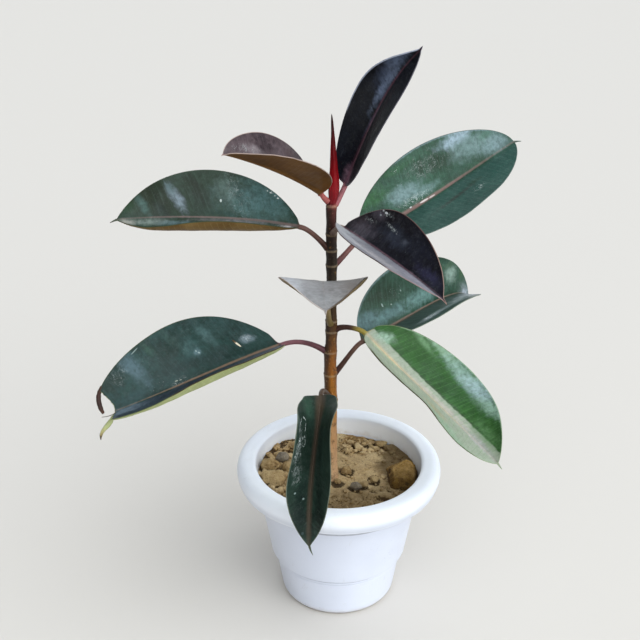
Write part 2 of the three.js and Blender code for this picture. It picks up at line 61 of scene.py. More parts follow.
# ------------------------------------------------------------------ shape data, millimetres, as in the CAD part
STEM = [
    [62, -8.0, -1.0, 4.2], [72, -8.0, -1.0, 6.6], [112, -8.0, -1.0, 7.4], [130, -8.0, -1.0, 7.8], [140, -8.1, -0.9, 7.0], [160, -8.2, -0.7, 6.6], [185, -8.3, -0.5, 6.3],
    [213, -8.4, -0.3, 6.1], [221, -8.4, -0.3, 6.9], [229, -8.4, -0.2, 6.1], [243, -8.6, -0.1, 6.0], [250, -8.7, 0, 6.7], [257, -8.8, 0, 6.0],
    [267, -8.9, 0, 5.9], [275, -8.8, 0, 6.5], [284, -8.2, 0, 5.4], [290, -8.0, 0, 5.3], [297, -8.0, 0, 6.0], [303, -8.1, 0, 5.6], [308, -8.2, 0, 5.7], [316, -8.2, 0, 4.9],
    [336, -8.1, 0, 4.8], [358, -8.0, 0, 4.8], [366, -8.0, 0, 5.6], [373, -8.0, 0, 4.9], [381, -8.2, 0, 5.5], [389, -8.3, 0, 4.8], [397, -8.4, 0, 5.3], [405, -8.5, 0, 4.8], [420, -8.6, 0, 4.8], [425, -8.4, 0, 5.2], [427.5, -8.2, 0, 4.6],
]
NODES_Z = [221, 250, 275, 297, 308, 366, 381, 397, 425]
SHEATH = [[427.9, -8.0, 3.5], [431, -7.5, 3.3], [436, -7.1, 4.2], [441, -6.9, 4.6], [450, -6.6, 4.2], [461, -6.8, 3.3], [478, -7.2, 2.4], [494, -7.6, 1.4], [506, -8.3, 0.9], [511.5, -8.7, 0.3]]
SOIL_LEVEL = 131.5
SOIL_EDGE = [[0, 134.6], [20, 134], [34, 132.9], [44, 134.2], [54, 132.7], [62, 132.7], [87, 132.1], [110, 133.6], [133, 138.7], [150, 137.6], [164, 137.9], [176, 139.7], [200, 138], [230, 134], [270, 131.8], [310, 132], [335, 134], [360, 134.6]]
POT_INNER = [[53.8, 3.0], [55.8, 6.5], [62.0, 44.5], [66.8, 50.2], [81.4, 132.0], [83.1, 149.0]]

LEAVES = [
    dict(name="leaf_01_young_folded", midrib=[[-18.4, -2, 438.6], [-33.6, -23.8, 457.7], [-54, -43.5, 475.2], [-76.3, -62.2, 490.4], [-97.8, -80.9, 502.2]],
         face=[0.099, -0.099, 0.99], roll=[3.3, 4.3, -1], half=32.4, peak=0.913, blunt=0.514, fa=[41, 2, -3.2], ca=9.3, fb=[37.7, -0.9, -2.4], cb=8.2,
         stalk=[[-9.6, -0.2, 428.5], [-17.2, -1.7, 434.1], [-16.2, 1, 436], [-18.4, -2, 438.6]], drip=0.01),
    dict(name="leaf_02_top_upright", midrib=[[3.3, 4.7, 443.1], [17.2, 1.3, 478.3], [28, -3.8, 513.7], [41.6, -12, 546.6], [65.2, -24.5, 574.6]],
         face=[-0.749, -0.468, 0.468], roll=[-0.9, -16, -29.5], half=30.6, peak=0.853, blunt=0.739, fa=[15.3, -0.1, 9], ca=7, fb=[17, 7.8, 16.5], cb=9.7,
         stalk=[[-7.7, 0.4, 424.3], [-3.3, 2.2, 425.6], [0.7, 5.3, 436.7], [3.3, 4.7, 443.1]], drip=0.018),
    dict(name="leaf_03_upper_right", midrib=[[20.5, 23.6, 383.5], [62.4, 45.8, 398], [101.1, 67.4, 416.3], [136.6, 86.9, 435.6], [169.7, 102.4, 452.1]],
         face=[-0.256, -0.725, 0.64], roll=[1.4, -4.5, -3], half=48.4, peak=0.894, blunt=0.564, fa=[18.5, 0.4, -1.4], ca=12.3, fb=[16.8, 3.6, 0.9], cb=8.5,
         stalk=[[-7.8, 0.6, 364.6], [2.9, 9.2, 369.2], [11, 18.6, 380.3], [20.5, 23.6, 383.5]], drip=0.035),
    dict(name="leaf_04_dark_right", midrib=[[1.4, -21.8, 413.6], [17.7, -59.3, 418], [37.2, -95.5, 418.3], [58.5, -129.8, 415.9], [77.9, -162.6, 410.5]],
         face=[0, 0, 1], roll=[-8.9, -1.9, 7.4], half=37.7, peak=0.925, blunt=0.742, fa=[28.4, -4.9, -0.6], ca=14.2, fb=[39.9, -3.5, -6.3], cb=17.4,
         stalk=[[-8.2, -0.9, 398], [-4.1, -9.8, 406.3], [-1.9, -14.2, 412.7], [1.4, -21.8, 413.6]], drip=0.014),
    dict(name="leaf_05_upper_left", midrib=[[-36.8, -1.4, 405.7], [-79.7, 6.1, 411.2], [-122.6, 5, 413.9], [-164.2, -4.2, 417], [-200.2, -20.9, 420.7]],
         face=[0, -0.196, 0.981], roll=[8.3, 5.9, 19.7], half=45.8, peak=0.955, blunt=0.771, fa=[24.8, -1.7, 6.7], ca=12.1, fb=[-17, -5.9, -3.6], cb=107.0,
         stalk=[[-9.6, -0.1, 380.6], [-16, -0.5, 389.1], [-28.8, -2.9, 404.7], [-36.8, -1.4, 405.7]], drip=0.03),
    dict(name="leaf_06_front_arched", midrib=[[-11.6, -27.6, 335], [-15.1, -56.8, 375.4], [-17.2, -90.8, 401.1], [-17, -129.7, 411], [-14.6, -173.7, 405.3]],
         face=[0, -0.196, 0.981], roll=[1.4, 4.1, -1], half=38.5, peak=0.929, blunt=0.701, fa=[1.5, 3, -0.1], ca=4.0, fb=[0.1, 0.2, 0.7], cb=14.7,
         stalk=[[-8.7, -1, 305.8], [-10.6, -15.3, 314.6], [-10.8, -20.6, 325.2], [-11.6, -27.6, 335]], drip=0.03),
    dict(name="leaf_07_middle_right", midrib=[[21.9, 25.1, 272.8], [68.4, 51.3, 284.6], [101.9, 78.1, 296.1], [122.7, 103.1, 294.2], [137.8, 126.3, 274.5]],
         face=[0, -0.196, 0.981], roll=[-11, -9.2, 0.5], half=52.7, peak=0.674, blunt=0.767, fa=[33.2, 0.9, -11.5], ca=17.4, fb=[45.9, 9.7, -12], cb=16.7,
         stalk=[[-7.8, 0.6, 248.2], [-0.3, 7.7, 249.2], [14.6, 20.9, 270.9], [21.9, 25.1, 272.8]], drip=0.008),
    dict(name="leaf_08_lower_right", midrib=[[23.7, -6.6, 299.7], [57.7, -22.2, 268], [90.6, -42.3, 242.9], [119.5, -68.7, 225.2], [142.7, -102.2, 214.9]],
         face=[0.287, 0, 0.958], roll=[-4.4, -4.1, -20.3], half=49.4, peak=0.887, blunt=0.594, fa=[21.7, 1.6, -2], ca=10.5, fb=[26.3, 4.5, 9.1], cb=10.5,
         stalk=[[-7.6, -0.2, 295.4], [-0.8, -1.6, 308.8], [21.8, -5.7, 301.5], [23.7, -6.6, 299.7]], drip=0.03),
    dict(name="leaf_09_lower_left", midrib=[[-56.5, -0.4, 283.6], [-94.4, -26.2, 282.5], [-134, -50.6, 274.4], [-175.8, -72.4, 264.1], [-219.7, -89.9, 256.1]],
         face=[-0.195, -0.098, 0.976], roll=[3.2, 7.5, -2.9], half=55.6, peak=0.965, blunt=0.467, fa=[45.4, 9.2, -17.3], ca=13.6, fb=[2.8, 3.6, -11.7], cb=59.0,
         stalk=[[-9.6, 0, 272.9], [-28.1, -0.1, 288], [-44.5, 7.8, 284], [-56.5, -0.4, 283.6]], drip=0.02),
    dict(name="leaf_10_front_hanging", midrib=[[-18, -44, 252.6], [-18, -72.8, 250.5], [-24.9, -94.7, 225.6], [-29.7, -110, 185.5], [-29.1, -119.9, 135]],
         face=[0, -0.894, 0.447], roll=[0.1, 1.5, -4.9], half=40.5, peak=0.936, blunt=0.864, fa=[53.5, -11.7, -35.1], ca=13.6, fb=[60.6, -13.3, -34.2], cb=18.1,
         opens=(0.489, 0.365), shoulder=(0.161, 0.431), stalk=[[-8.8, -1, 223.1], [-12.3, -19.5, 240], [-17.6, -28, 254], [-18, -44, 252.6]], drip=0.04),
]

CLODS = [
    ["clod_left_big", [-66.5, -15.0, 138.5], 11.4, [1.0, 0.9, 0.8], 3],
    ["clod_left_upper", [-69.0, 8.5, 138.6], 8.6, [1.05, 0.85, 0.7], 7],
    ["stone_left_grey", [-57.6, 25.2, 138.6], 6.0, [1.0, 0.85, 0.8], 11],
    ["clod_left_inner", [-51.6, 8.5, 137.0], 5.6, [0.9, 1.0, 0.8], 13],
    ["clod_right_big", [65.5, -6.0, 139.0], 13.0, [0.95, 1.1, 0.72], 17],
    ["crumb_by_stem_front", [-1.0, -12.5, 133.6], 3.2, [1.1, 1.0, 0.9], 19],
    ["stone_front_grey", [17.0, -20.0, 132.6], 4.6, [1.1, 0.9, 0.75], 23],
    ["clod_front_middle", [25.6, -16.6, 132.6], 4.0, [1.0, 0.9, 0.8], 29],
    ["clod_front_right", [35.6, -8.0, 132.6], 4.2, [0.9, 1.1, 0.8], 31],
    ["clod_by_stem_right", [8.2, 7.6, 132.8], 4.9, [1.0, 1.1, 0.85], 37],
    ["crumb_back_left", [19.5, 56.0, 131.9], 2.7, [1.1, 1.0, 0.8], 41],
    ["crumb_back_middle", [27.6, 58.8, 131.9], 2.9, [1.0, 0.9, 0.8], 43],
    ["crumb_back_right", [35.0, 54.6, 131.9], 2.6, [1.0, 1.0, 0.8], 47],
    ["clod_back_right", [45.9, 58.6, 132.4], 5.2, [1.15, 0.9, 0.55], 53],
]

# ------------------------------------------------------------------ mesh helpers


def unit(a):
    return a / np.maximum(np.linalg.norm(a, axis=-1, keepdims=True), 1e-12)


def smooth(a, b, x):
    t = np.clip((x - a) / (b - a), 0, 1)
    return t * t * (3 - 2 * t)


def make(name, verts, faces, mat, attrs=None):
    """An object from millimetres, its faces turned outwards."""
    verts = np.asarray(verts, float)
    tri = [(f[0], f[i], f[i + 1]) for f in faces[:: max(1, len(faces) // 4000)] for i in range(1, len(f) - 1)]
    if len(faces) <= 4000:
        t = np.array(tri)
        volume = np.einsum("ij,ij->", verts[t[:, 0]], np.cross(verts[t[:, 1]], verts[t[:, 2]]))
    else:
        q = np.array([(f[0], f[1], f[2]) for f in faces] + [(f[0], f[2], f[3]) for f in faces if len(f) == 4])
        volume = np.einsum("ij,ij->", verts[q[:, 0]], np.cross(verts[q[:, 1]], verts[q[:, 2]]))
    if volume < 0:
        faces = [tuple(reversed(f)) for f in faces]
    me = bpy.data.meshes.new(name)
    me.from_pydata((verts * 0.001).tolist(), [], faces)
    for key, values in (attrs or {}).items():
        me.attributes.new(key, "FLOAT", "POINT").data.foreach_set("value", np.asarray(values, np.float32).ravel())
    me.polygons.foreach_set("use_smooth", np.ones(len(me.polygons), bool))
    me.materials.append(mat)
    me.update()
    ob = bpy.data.objects.new(name, me)
    scene.collection.objects.link(ob)
    return ob


def loft_faces(rows, n, base=0):
    """Quads of a closed loft of rows rings with n points each."""
    i = np.arange(rows - 1)[:, None] * n + base
    j = np.arange(n)[None, :]
    a, b = i + j, i + (j + 1) % n
    return np.stack([a, b, b + n, a + n], -1).reshape(-1, 4).tolist()


def loft(rings):
    """Vertices and faces of a closed loft with a fan at each end. rings is (rows, n, 3)."""
    rows, n = rings.shape[:2]
    verts = np.concatenate([rings.reshape(-1, 3), rings[0].mean(0)[None], rings[-1].mean(0)[None]])
    faces = [tuple(f) for f in loft_faces(rows, n)]
    k, end = rows * n, (rows - 1) * n
    faces += [(k, (j + 1) % n, j) for j in range(n)]
    faces += [(k + 1, end + j, end + (j + 1) % n) for j in range(n)]
    return verts, faces


def fractal(p, scale, octaves=4, seed=0.0, rough=0.5):
    """Seeded fractal noise at each point of p, about -1 to 1."""
    out = np.zeros(len(p))
    amp, f = 1.0, scale
    for k in range(octaves):
        off = (seed * 3.17 + k * 11.3, seed * 7.31 - k * 5.7, seed * 1.93 + k * 2.9)
        out += amp * np.array([noise.noise((x * f + off[0], y * f + off[1], z * f + off[2])) for x, y, z in p])
        amp *= rough
        f *= 2.03
    return out


def finish_piece(ob, nodes):
    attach(ob, "root")
    if nodes:
        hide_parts(*nodes)
    return ob


# ------------------------------------------------------------------ material helpers


def lin(h):
    h = h.lstrip("#")
    c = [int(h[i:i + 2], 16) / 255 for i in (0, 2, 4)]
    return tuple(x / 12.92 if x <= 0.04045 else ((x + 0.055) / 1.055) ** 2.4 for x in c) + (1.0,)


class Mat:
    """A short way to write a node material."""

    def __init__(self, name):
        self.mat = bpy.data.materials.new(name)
        self.mat.use_nodes = True
        self.tree = self.mat.node_tree
        self.tree.nodes.clear()
        self.count = 0

    def node(self, kind, **props):
        n = self.tree.nodes.new(kind)
        n.location = (200 * (self.count % 12), -220 * (self.count // 12))
        self.count += 1
        for key, value in props.items():
            setattr(n, key, value)
        return n

    def put(self, socket, value):
        if isinstance(value, bpy.types.NodeSocket):
            self.tree.links.new(value, socket)
        elif value is not None:
            socket.default_value = lin(value) if isinstance(value, str) else value

    def attr(self, name):
        return self.node("ShaderNodeAttribute", attribute_name=name, attribute_type="GEOMETRY").outputs["Fac"]

    def place(self):
        return self.node("ShaderNodeTexCoord").outputs["Object"]

    def math(self, op, a, b=None, c=None, clamp=False):
        n = self.node("ShaderNodeMath", operation=op, use_clamp=clamp)
        for socket, value in zip(n.inputs, (a, b, c)):
            self.put(socket, value)
        return n.outputs[0]

    def add(self, a, b, clamp=False):
        return self.math("ADD", a, b, clamp=clamp)

    def mul(self, a, b, clamp=False):
        return self.math("MULTIPLY", a, b, clamp=clamp)

    def step(self, value, a, b, lo=0.0, hi=1.0):
        """Smooth step from lo at a to hi at b."""
        n = self.node("ShaderNodeMapRange", interpolation_type="SMOOTHSTEP", clamp=True)
        if isinstance(a, (int, float)) and isinstance(b, (int, float)) and a > b:
            a, b, lo, hi = b, a, hi, lo
        for key, x in (("Value", value), ("From Min", a), ("From Max", b), ("To Min", lo), ("To Max", hi)):
            self.put(n.inputs[key], x)
        return n.outputs["Result"]

    def xyz(self, x, y, z):
        n = self.node("ShaderNodeCombineXYZ")
        for socket, value in zip(n.inputs, (x, y, z)):
            self.put(socket, value)
        return n.outputs[0]

    def scale(self, vector, by, shift=(0, 0, 0)):
        n = self.node("ShaderNodeMapping")
        self.put(n.inputs["Vector"], vector)
        n.inputs["Scale"].default_value = by
        n.inputs["Location"].default_value = shift
        return n.outputs[0]

    def noise(self, vector, scale, detail=3.0, rough=0.55, distort=0.0):
        n = self.node("ShaderNodeTexNoise")
        self.put(n.inputs["Vector"], vector)
        n.inputs["Scale"].default_value = scale
        n.inputs["Detail"].default_value = detail
        n.inputs["Roughness"].default_value = rough
        n.inputs["Distortion"].default_value = distort
        return n.outputs["Fac"]

    def voronoi(self, vector, scale, feature="F1", random=1.0):
        n = self.node("ShaderNodeTexVoronoi", feature=feature)
        self.put(n.inputs["Vector"], vector)
        n.inputs["Scale"].default_value = scale
        n.inputs["Randomness"].default_value = random
        return n

    def mix(self, fac, a, b, blend="MIX"):
        n = self.node("ShaderNodeMix", data_type="RGBA", blend_type=blend, clamp_factor=True)
        self.put(n.inputs[0], fac)
        self.put(n.inputs[6], a)
        self.put(n.inputs[7], b)
        return n.outputs[2]

    def ramp(self, fac, stops):
        n = self.node("ShaderNodeValToRGB")
        self.put(n.inputs[0], fac)
        cr = n.color_ramp
        while len(cr.elements) < len(stops):
            cr.elements.new(0.5)
        for e, (pos, colour) in zip(cr.elements, stops):
            e.position = pos
            e.color = lin(colour) if isinstance(colour, str) else (colour, colour, colour, 1)
        return n.outputs["Color"]

    def shade(self, colour, factor):
        """colour times a number."""
        n = self.node("ShaderNodeMix", data_type="RGBA", blend_type="MULTIPLY")
        n.inputs[0].default_value = 1.0
        self.put(n.inputs[6], colour)
        g = self.node("ShaderNodeCombineColor")
        for i in range(3):
            self.put(g.inputs[i], factor)
        self.put(n.inputs[7], g.outputs[0])
        return n.outputs[2]

    def done(self, colour, rough, height=None, **sockets):
        """height is in millimetres."""
        p = self.node("ShaderNodeBsdfPrincipled")
        self.put(p.inputs["Base Color"], colour)
        self.put(p.inputs["Roughness"], rough)
        for key, value in sockets.items():
            p.inputs[key.replace("_", " ")].default_value = value
        if height is not None:
            b = self.node("ShaderNodeBump")
            b.inputs["Strength"].default_value = 1.0
            b.inputs["Distance"].default_value = 0.001
            self.put(b.inputs["Height"], height)
            self.put(p.inputs["Normal"], b.outputs[0])
        out = self.node("ShaderNodeOutputMaterial")
        self.tree.links.new(p.outputs[0], out.inputs[0])
        return self.mat


# ------------------------------------------------------------------ leaves
# Looks of each leaf. top: darker and lighter green of the upper side; vein: colour of the fine lateral veins on it;
# rib: midrib on the upper side, with its half width and strength; rim: margin; under: underside, darker and lighter;
# stalk: at the stem and at the blade; dust, specks, scratch: amounts; gloss: roughness of the upper side;
# bands: painted sheen and shade along the blade, as from, to and softness in mm across, colour, strength; hem: painted
# sheen and shade counted the same way from the margin, with the half it is on; haze: painted reflections, pale sheen
# and dark mirrored
# surroundings with some deeper green of the leaf, as along, across, their radii, turn, colour and strength; scribble,
# flecks:
# where scratches and white flecks lie, without the colour; loops: curved white scratches; margins: from, to, width,
# half, colour and strength of a line along the edge, the margin's own colour with painted highlight and painted shade;
# marks: small sharp spots.
LOOKS = {
    "leaf_01_young_folded": dict(top=("#33292d", "#514447"), vein="#6d605f", rib="#74464a", rib_w=1.6, rib_k=0.8, rim="#c0aba0", under=("#472c10", "#62421b"), uvein="#6a4824",
                                 stalk=("#8c2f30", "#b0625c"), dust=0.14, specks=0.5, scratch=0.3, gloss=0.38, veins=0.5, dustc="#8a817f",
                                 sheen_and_tone=[(95, 11, 20, 6, 0, "#8d8385", 0.6), (60, 19, 14, 6, 20, "#6d6064", 0.35), (78, 14, 7, 8, 40, "#3a2d31", 0.5), (44, 22, 14, 9, 0, "#4a3a3a", 0.5)],
                                 flecks=[(90, 10, 26, 8, 0, 0.7), (50, 20, 16, 6, 0, 0.5)], scribble=[(105, 9, 16, 7, 0, 0.6)]),
    "leaf_02_top_upright": dict(top=("#06070b", "#0e1017"), vein="#20232e", rib="#4d2c39", rib_w=2.8, rib_k=0.6, rim="#6b6a74", under=("#3b1c1a", "#56302a"), uvein="#6a4238",
                                stalk=("#a24a4c", "#9a6468"), dust=0.07, specks=0.25, scratch=0.1, gloss=0.3, veins=0.3, dustc="#4a5164",
                                sheen_and_tone=[(98, -5.0, 30, 5.5, 3, "#6b7890", 0.8), (124, -9, 28, 10, -4, "#5a667c", 0.8), (72, 0, 24, 2.6, 6, "#565c70", 0.5), (112, -13, 26, 7, 0, "#343c4e", 0.55),
                                      (9, 1, 16, 8, 0, "#8a6a78", 0.75), (70, 9, 46, 4, -4, "#22121a", 0.7)], margins=[(62, 150, 1.5, -1, "#b3bacb", 0.75), (0, 62, 0.9, -1, "#2a2226", 0.8)],
                                flecks=[(60, -14, 50, 14, 0, 0.3)], scribble=[]),
    "leaf_03_upper_right": dict(top=("#1b3a28", "#2a4d39"), vein="#52766a", rib="#8f6c68", rib_w=3.1, rib_k=0.7, rim="#5c6d66", under=("#6f6a3f", "#8a8752"), uvein="#9a9866",
                                stalk=("#5a3532", "#7d544e"), dust=0.06, specks=0.6, scratch=0.4, gloss=0.32, veins=0.45, dustc="#86a09a",
                                bands=[(3.0, 50.0, 4.0, "#274540", 0.75)], hem=[(0.0, 1.8, 1.4, -1, "#8ba0a8", 0.5, 70, 170)], margins=[(0, 176, 0.8, -1, "#3c4a3c", 0.75)],
                                sheen_and_tone=[(30, -28, 28, 12, 0, "#2c572d", 0.8), (66, -40, 24, 6, 0, "#2c5730", 0.6), (60, -17, 28, 11, 0, "#7c9496", 0.8), (84, -9, 18, 6, 0, "#708a89", 0.6),
                                      (102, -27, 34, 14, 8, "#0f2812", 0.95), (120, -8, 15, 5, 0, "#1d4030", 0.6), (135, -34, 27, 9, 4, "#9cafbc", 0.85), (146, -20, 30, 14, 2, "#6c8382", 0.85),
                                      (166, -8, 20, 11, 0, "#7c9297", 0.75), (161, -21, 9, 5, 0, "#47705a", 0.55), (96, 19, 38, 3.0, -6, "#2c2a26", 0.75), (123, 15, 10, 3.6, 0, "#172c1b", 0.8),
                                      (64, 22, 30, 9, 0, "#3a544c", 0.5), (150, 22, 30, 13, 0, "#23483f", 0.6)],
                                flecks=[(72, -5, 24, 6, 0, 1.0), (50, -26, 32, 13, 0, 0.6), (66, -40, 8, 4, 0, 1.0), (118, 24, 10, 5, 0, 0.8)], scribble=[(66, -7, 24, 5, 0, 1.0), (96, -28, 30, 12, 0, 0.35), (120, 25, 9, 4, 0, 0.9)],
                                                                # leaf 03's pale dashes on the midrib are a painted
                                                                # highlight where white scratch marks also lie
                                                                marks=[(73, -0.6, 5.0, 1.0, 2, "#d8cdc8", 0.8), (82, 0.0, 3.6, 0.9, 2, "#cfc2be", 0.7), (58, -2.2, 1.3, 0.7, 0, "#cfd4d2", 0.7)]),
    "leaf_04_dark_right": dict(top=("#0b0a10", "#14121a"), vein="#252432", rib="#6e525e", rib_w=1.9, rib_k=0.6, rim="#a08478", under=("#4a2d22", "#66453a"), uvein="#7a5a48",
                               stalk=("#4a3428", "#8a776c"), dust=0.08, specks=0.6, scratch=0.35, gloss=0.32, veins=0.3, dustc="#5a5f72",
                               bands=[(2.4, 40.0, 1.6, "#8b8b92", 0.9)],
                               sheen_and_tone=[(30, -8, 28, 11, 0, "#57525a", 0.75), (42, -26, 16, 6, 0, "#55505a", 0.7), (76, -17, 30, 11, 0, "#333845", 0.7), (134, -8, 22, 7, 0, "#2d2c46", 0.6), (108, -19, 30, 12, 0, "#1a1c28", 0.5),
                                     (26, 11, 34, 12, 0, "#a5a9ab", 0.95), (60, 24, 40, 7, 0, "#a2a4a6", 0.85), (90, 20, 44, 9, 0, "#a8a3a4", 0.85), (124, 6, 32, 7, 0, "#8c8892", 0.7), (90, -18, 6, 3.4, 0, "#4d525c", 0.7)],
                               margins=[(0, 118, 1.0, 1, "#3a2a26", 0.85), (118, 168, 0.8, 1, "#9a8488", 0.6), (0, 120, 1.1, -1, "#3a1f22", 0.7)],
                               flecks=[(52, -30, 10, 3.5, 0, 1.2), (32, -18, 12, 4, 0, 0.9), (66, -22, 16, 3, 0, 0.8), (90, -10, 40, 14, 0, 0.3)], scribble=[(52, -29.5, 13, 3.0, 0, 1.6), (34, -19, 12, 4, 0, 0.9), (68, -22, 14, 2.2, 8, 1.2)],
                               marks=[(51, -30.5, 2.6, 1.0, 0, "#d3d6d8", 0.9), (45, -31, 1.2, 0.8, 0, "#bfc3c6", 0.8), (44, -26.5, 1.6, 0.8, 0, "#aab0b4", 0.7)]),
    "leaf_05_upper_left": dict(top=("#1d2c1e", "#2a3c2e"), vein="#475c4e", rib="#7d6864", rib_w=1.7, rib_k=0.75, rim="#39452f", under=("#5c4522", "#7a623a"), uvein="#8a764c",
                               stalk=("#3a241d", "#6a4c44"), dust=0.06, specks=0.45, scratch=0.15, gloss=0.34, veins=0.45, dustc="#71868a",
                               sheen_and_tone=[(128, 18, 52, 28, 0, "#151d0a", 0.85), (38, 18, 44, 26, 0, "#4f7070", 0.8), (70, 26, 18, 11, 62, "#5f736c", 0.6), (95, 26, 24, 8, 60, "#171e0e", 0.92), (112, 17, 20, 6.4, 60, "#77848c", 0.95), (118, 27, 9, 5, 60, "#54696a", 0.6),
                                     (132, 20, 20, 6, 60, "#161f0f", 0.88), (128, 8, 13, 5, 45, "#141e16", 0.7), (144, 12, 15, 5.5, 58, "#48635d", 0.75), (157, 11, 11, 9, 0, "#223a20", 0.7), (72, 5, 20, 4, 0, "#16322a", 0.6),
                                     (159, -4, 12, 5, 0, "#96938a", 0.85), (138, -5, 20, 5, 0, "#76827b", 0.75), (116, -7, 20, 4, 0, "#6f868c", 0.45), (60, -3, 50, 3, 0, "#8b8084", 0.5), (12, -3, 8, 3, 0, "#d2cbca", 0.95)],
                               flecks=[(30, 28, 10, 5, 0, 1.2), (23, 23, 8, 5, 0, 1.0), (60, 20, 60, 22, 0, 0.35)], scribble=[(60, 22, 34, 12, 70, 0.35), (28, 28, 10, 4, 0, 1.2)],
                               marks=[(73.9, 16.6, 0.9, 1.5, 0, "#c3ccc5", 0.9), (24, 22.5, 1.0, 0.6, 0, "#d5dad6", 0.9), (27, 24.5, 0.6, 0.6, 0, "#c5ccc6", 0.8), (31, 27, 1.1, 0.6, 20, "#d5dad6", 0.9), (34, 28.5, 0.6, 0.7, 0, "#b9c2bc", 0.8)]),
    # leaf 06's upper side is painted a silvery grey, the sheen it shows seen almost edge-on
    "leaf_06_front_arched": dict(top=("#7c7b7b", "#8e8d8c"), vein="#9a9896", rib="#948e8a", rib_w=1.4, rib_k=0.4, rim="#a89a90", under=("#5f5038", "#7c6a48"), uvein="#8f7f58",
                                 stalk=("#6a5a30", "#7d6c48"), dust=0.2, specks=0.25, scratch=0.2, gloss=0.38, veins=0.35, dustc="#a5a4a4",
                                 sheen_and_tone=[(122, 28, 60, 15, 0, "#b3b6bc", 0.9), (138, 8, 34, 10, 0, "#8f9091", 0.7), (120, -24, 64, 13, 0, "#77706a", 0.85), (152, 0, 14, 9, 0, "#858788", 0.6), (132, -6, 9, 5, 0, "#6d6c6a", 0.5)], hem=[(0.0, 1.6, 1.1, -1, "#54483e", 0.8), (0.0, 1.2, 0.8, 1, "#c4b6ae", 0.6)], margins=[(0, 170, 1.1, -1, "#3d322a", 0.8), (0, 170, 0.8, 1, "#c9bcb6", 0.6)],
                                 flecks=[(130, 0, 40, 24, 0, 0.3)], scribble=[]),
    "leaf_07_middle_right": dict(top=("#1b3826", "#294938"), vein="#527467", rib="#8c7266", rib_w=2.2, rib_k=0.7, rim="#67766a", under=("#7c8050", "#949a64"), uvein="#a6ab78",
                                 stalk=("#4a2f2a", "#6b5046"), dust=0.06, specks=0.7, scratch=0.25, gloss=0.34, veins=0.55, dustc="#7b9691",
                                 bands=[(2.5, 60.0, 3.0, "#3c4745", 0.75)], hem=[(0.0, 2.2, 1.8, -1, "#7f9a9e", 0.6, -5, 60)],
                                 sheen_and_tone=[(14, -16, 20, 12, 0, "#66838a", 0.75), (42, -11, 34, 8, 0, "#67888a", 0.7), (42, -33, 32, 13, 0, "#0f2a12", 0.95), (82, -11, 32, 11, 0, "#769b96", 0.75),
                                       (92, -30, 24, 14, 0, "#1f3f2a", 0.6), (122, -22, 14, 10, 70, "#92a89b", 0.8), (126, -34, 24, 5, -20, "#27472a", 0.8), (139, -22, 6, 8, 0, "#2a4a24", 0.75),
                                       (54, 22, 18, 9, 0, "#2c3634", 0.5), (63, 34, 20, 6.5, 0, "#aab5bb", 0.9), (86, 33, 32, 7, 0, "#8f9c9f", 0.75), (106, 24, 28, 12, 0, "#8d9899", 0.8), (126, 18, 22, 13, 0, "#a9b0b6", 0.9), (152, 0, 18, 14, 0, "#a0a9b2", 0.95),
                                       (100, 12, 26, 7, 0, "#4f5b5a", 0.6), (40, 2, 40, 3.5, 0, "#6a5c54", 0.5)],
                                 flecks=[(72, 30, 34, 9, 0, 1.0), (54, -28, 26, 12, 0, 0.7)], scribble=[(66, 33, 24, 6, 0, 1.2), (96, 28, 24, 8, 0, 0.6)],
                                 marks=[(38, -22.5, 0.8, 2.0, 0, "#8fa5a0", 0.85), (47, -19, 0.7, 0.7, 0, "#a9bab5", 0.7), (62, -27, 0.6, 1.0, 0, "#9db0a8", 0.7), (61, 35, 2.6, 0.7, -8, "#c9d0d2", 0.8), (67, 33, 1.6, 0.8, 30, "#bcc4c6", 0.7)]),
    "leaf_08_lower_right": dict(top=("#19400f", "#234f19"), vein="#4f8045", rib="#c6a98c", rib_w=2.6, rib_k=0.4, rim="#8fa080", under=("#7c8a48", "#94a05c"), uvein="#a8b272",
                                stalk=("#3a241c", "#8f8038"), dust=0.05, specks=0.25, scratch=0.1, gloss=0.32, veins=0.75, dustc="#a5c4ae",
                                bands=[(-8.5, 60.0, 1.0, "#9aa191", 0.95)], hem=[(0.0, 1.6, 1.0, -1, "#8fab90", 0.5, 20, 160)], margins=[(14, 116, 4.6, 1, "#3f3a17", 0.95), (114, 165, 1.3, 1, "#3d4a26", 0.7), (0, 70, 0.9, -1, "#54602c", 0.6)], turns=(-15, -3),
                                sheen_and_tone=[(42, -37, 24, 5, 8, "#7c9f7b", 0.55), (62, -44, 30, 6.5, 2, "#8aa68e", 0.75), (92, -41, 32, 10, -2, "#8aa49c", 0.82), (114, -39, 26, 11, -5, "#97acb1", 0.85), (136, -33, 24, 9, -14, "#8ba698", 0.85), (152, -12, 28, 12, 4, "#577a50", 0.6),
                                      (60, -24, 36, 11, 0, "#17400c", 0.85), (28, -23, 20, 7, -10, "#1d4a12", 0.7), (102, -21, 36, 10, 2, "#173d13", 0.75), (90, -9.8, 88, 1.5, 0, "#2c3d26", 0.85),
                                      (60, 45, 60, 7, 0, "#8aa886", 0.45), (130, 34, 50, 14, 0, "#82a287", 0.6), (24, 4, 30, 6, 0, "#bfc49f", 0.65), (104, 22, 20, 12, 0, "#a89c7c", 0.7), (60, 20, 30, 14, 0, "#b9bfa6", 0.4), (18, -10.5, 15, 7, -30, "#9cb6a4", 0.85), (34, 1, 38, 1.7, 0, "#dcbf92", 0.85), (100, -3, 46, 3.0, 0, "#b9aaa4", 0.6),
                                      (150, 0, 30, 5, 0, "#a9a5a8", 0.7)],
                                flecks=[(95, -24, 50, 20, 0, 0.3)], scribble=[]),
    "leaf_09_lower_left": dict(top=("#142a23", "#203c36"), vein="#40595a", rib="#8f745c", rib_w=1.9, rib_k=0.8, rim="#4a5638", under=("#949d66", "#a8b07a"), uvein="#b4bb88",
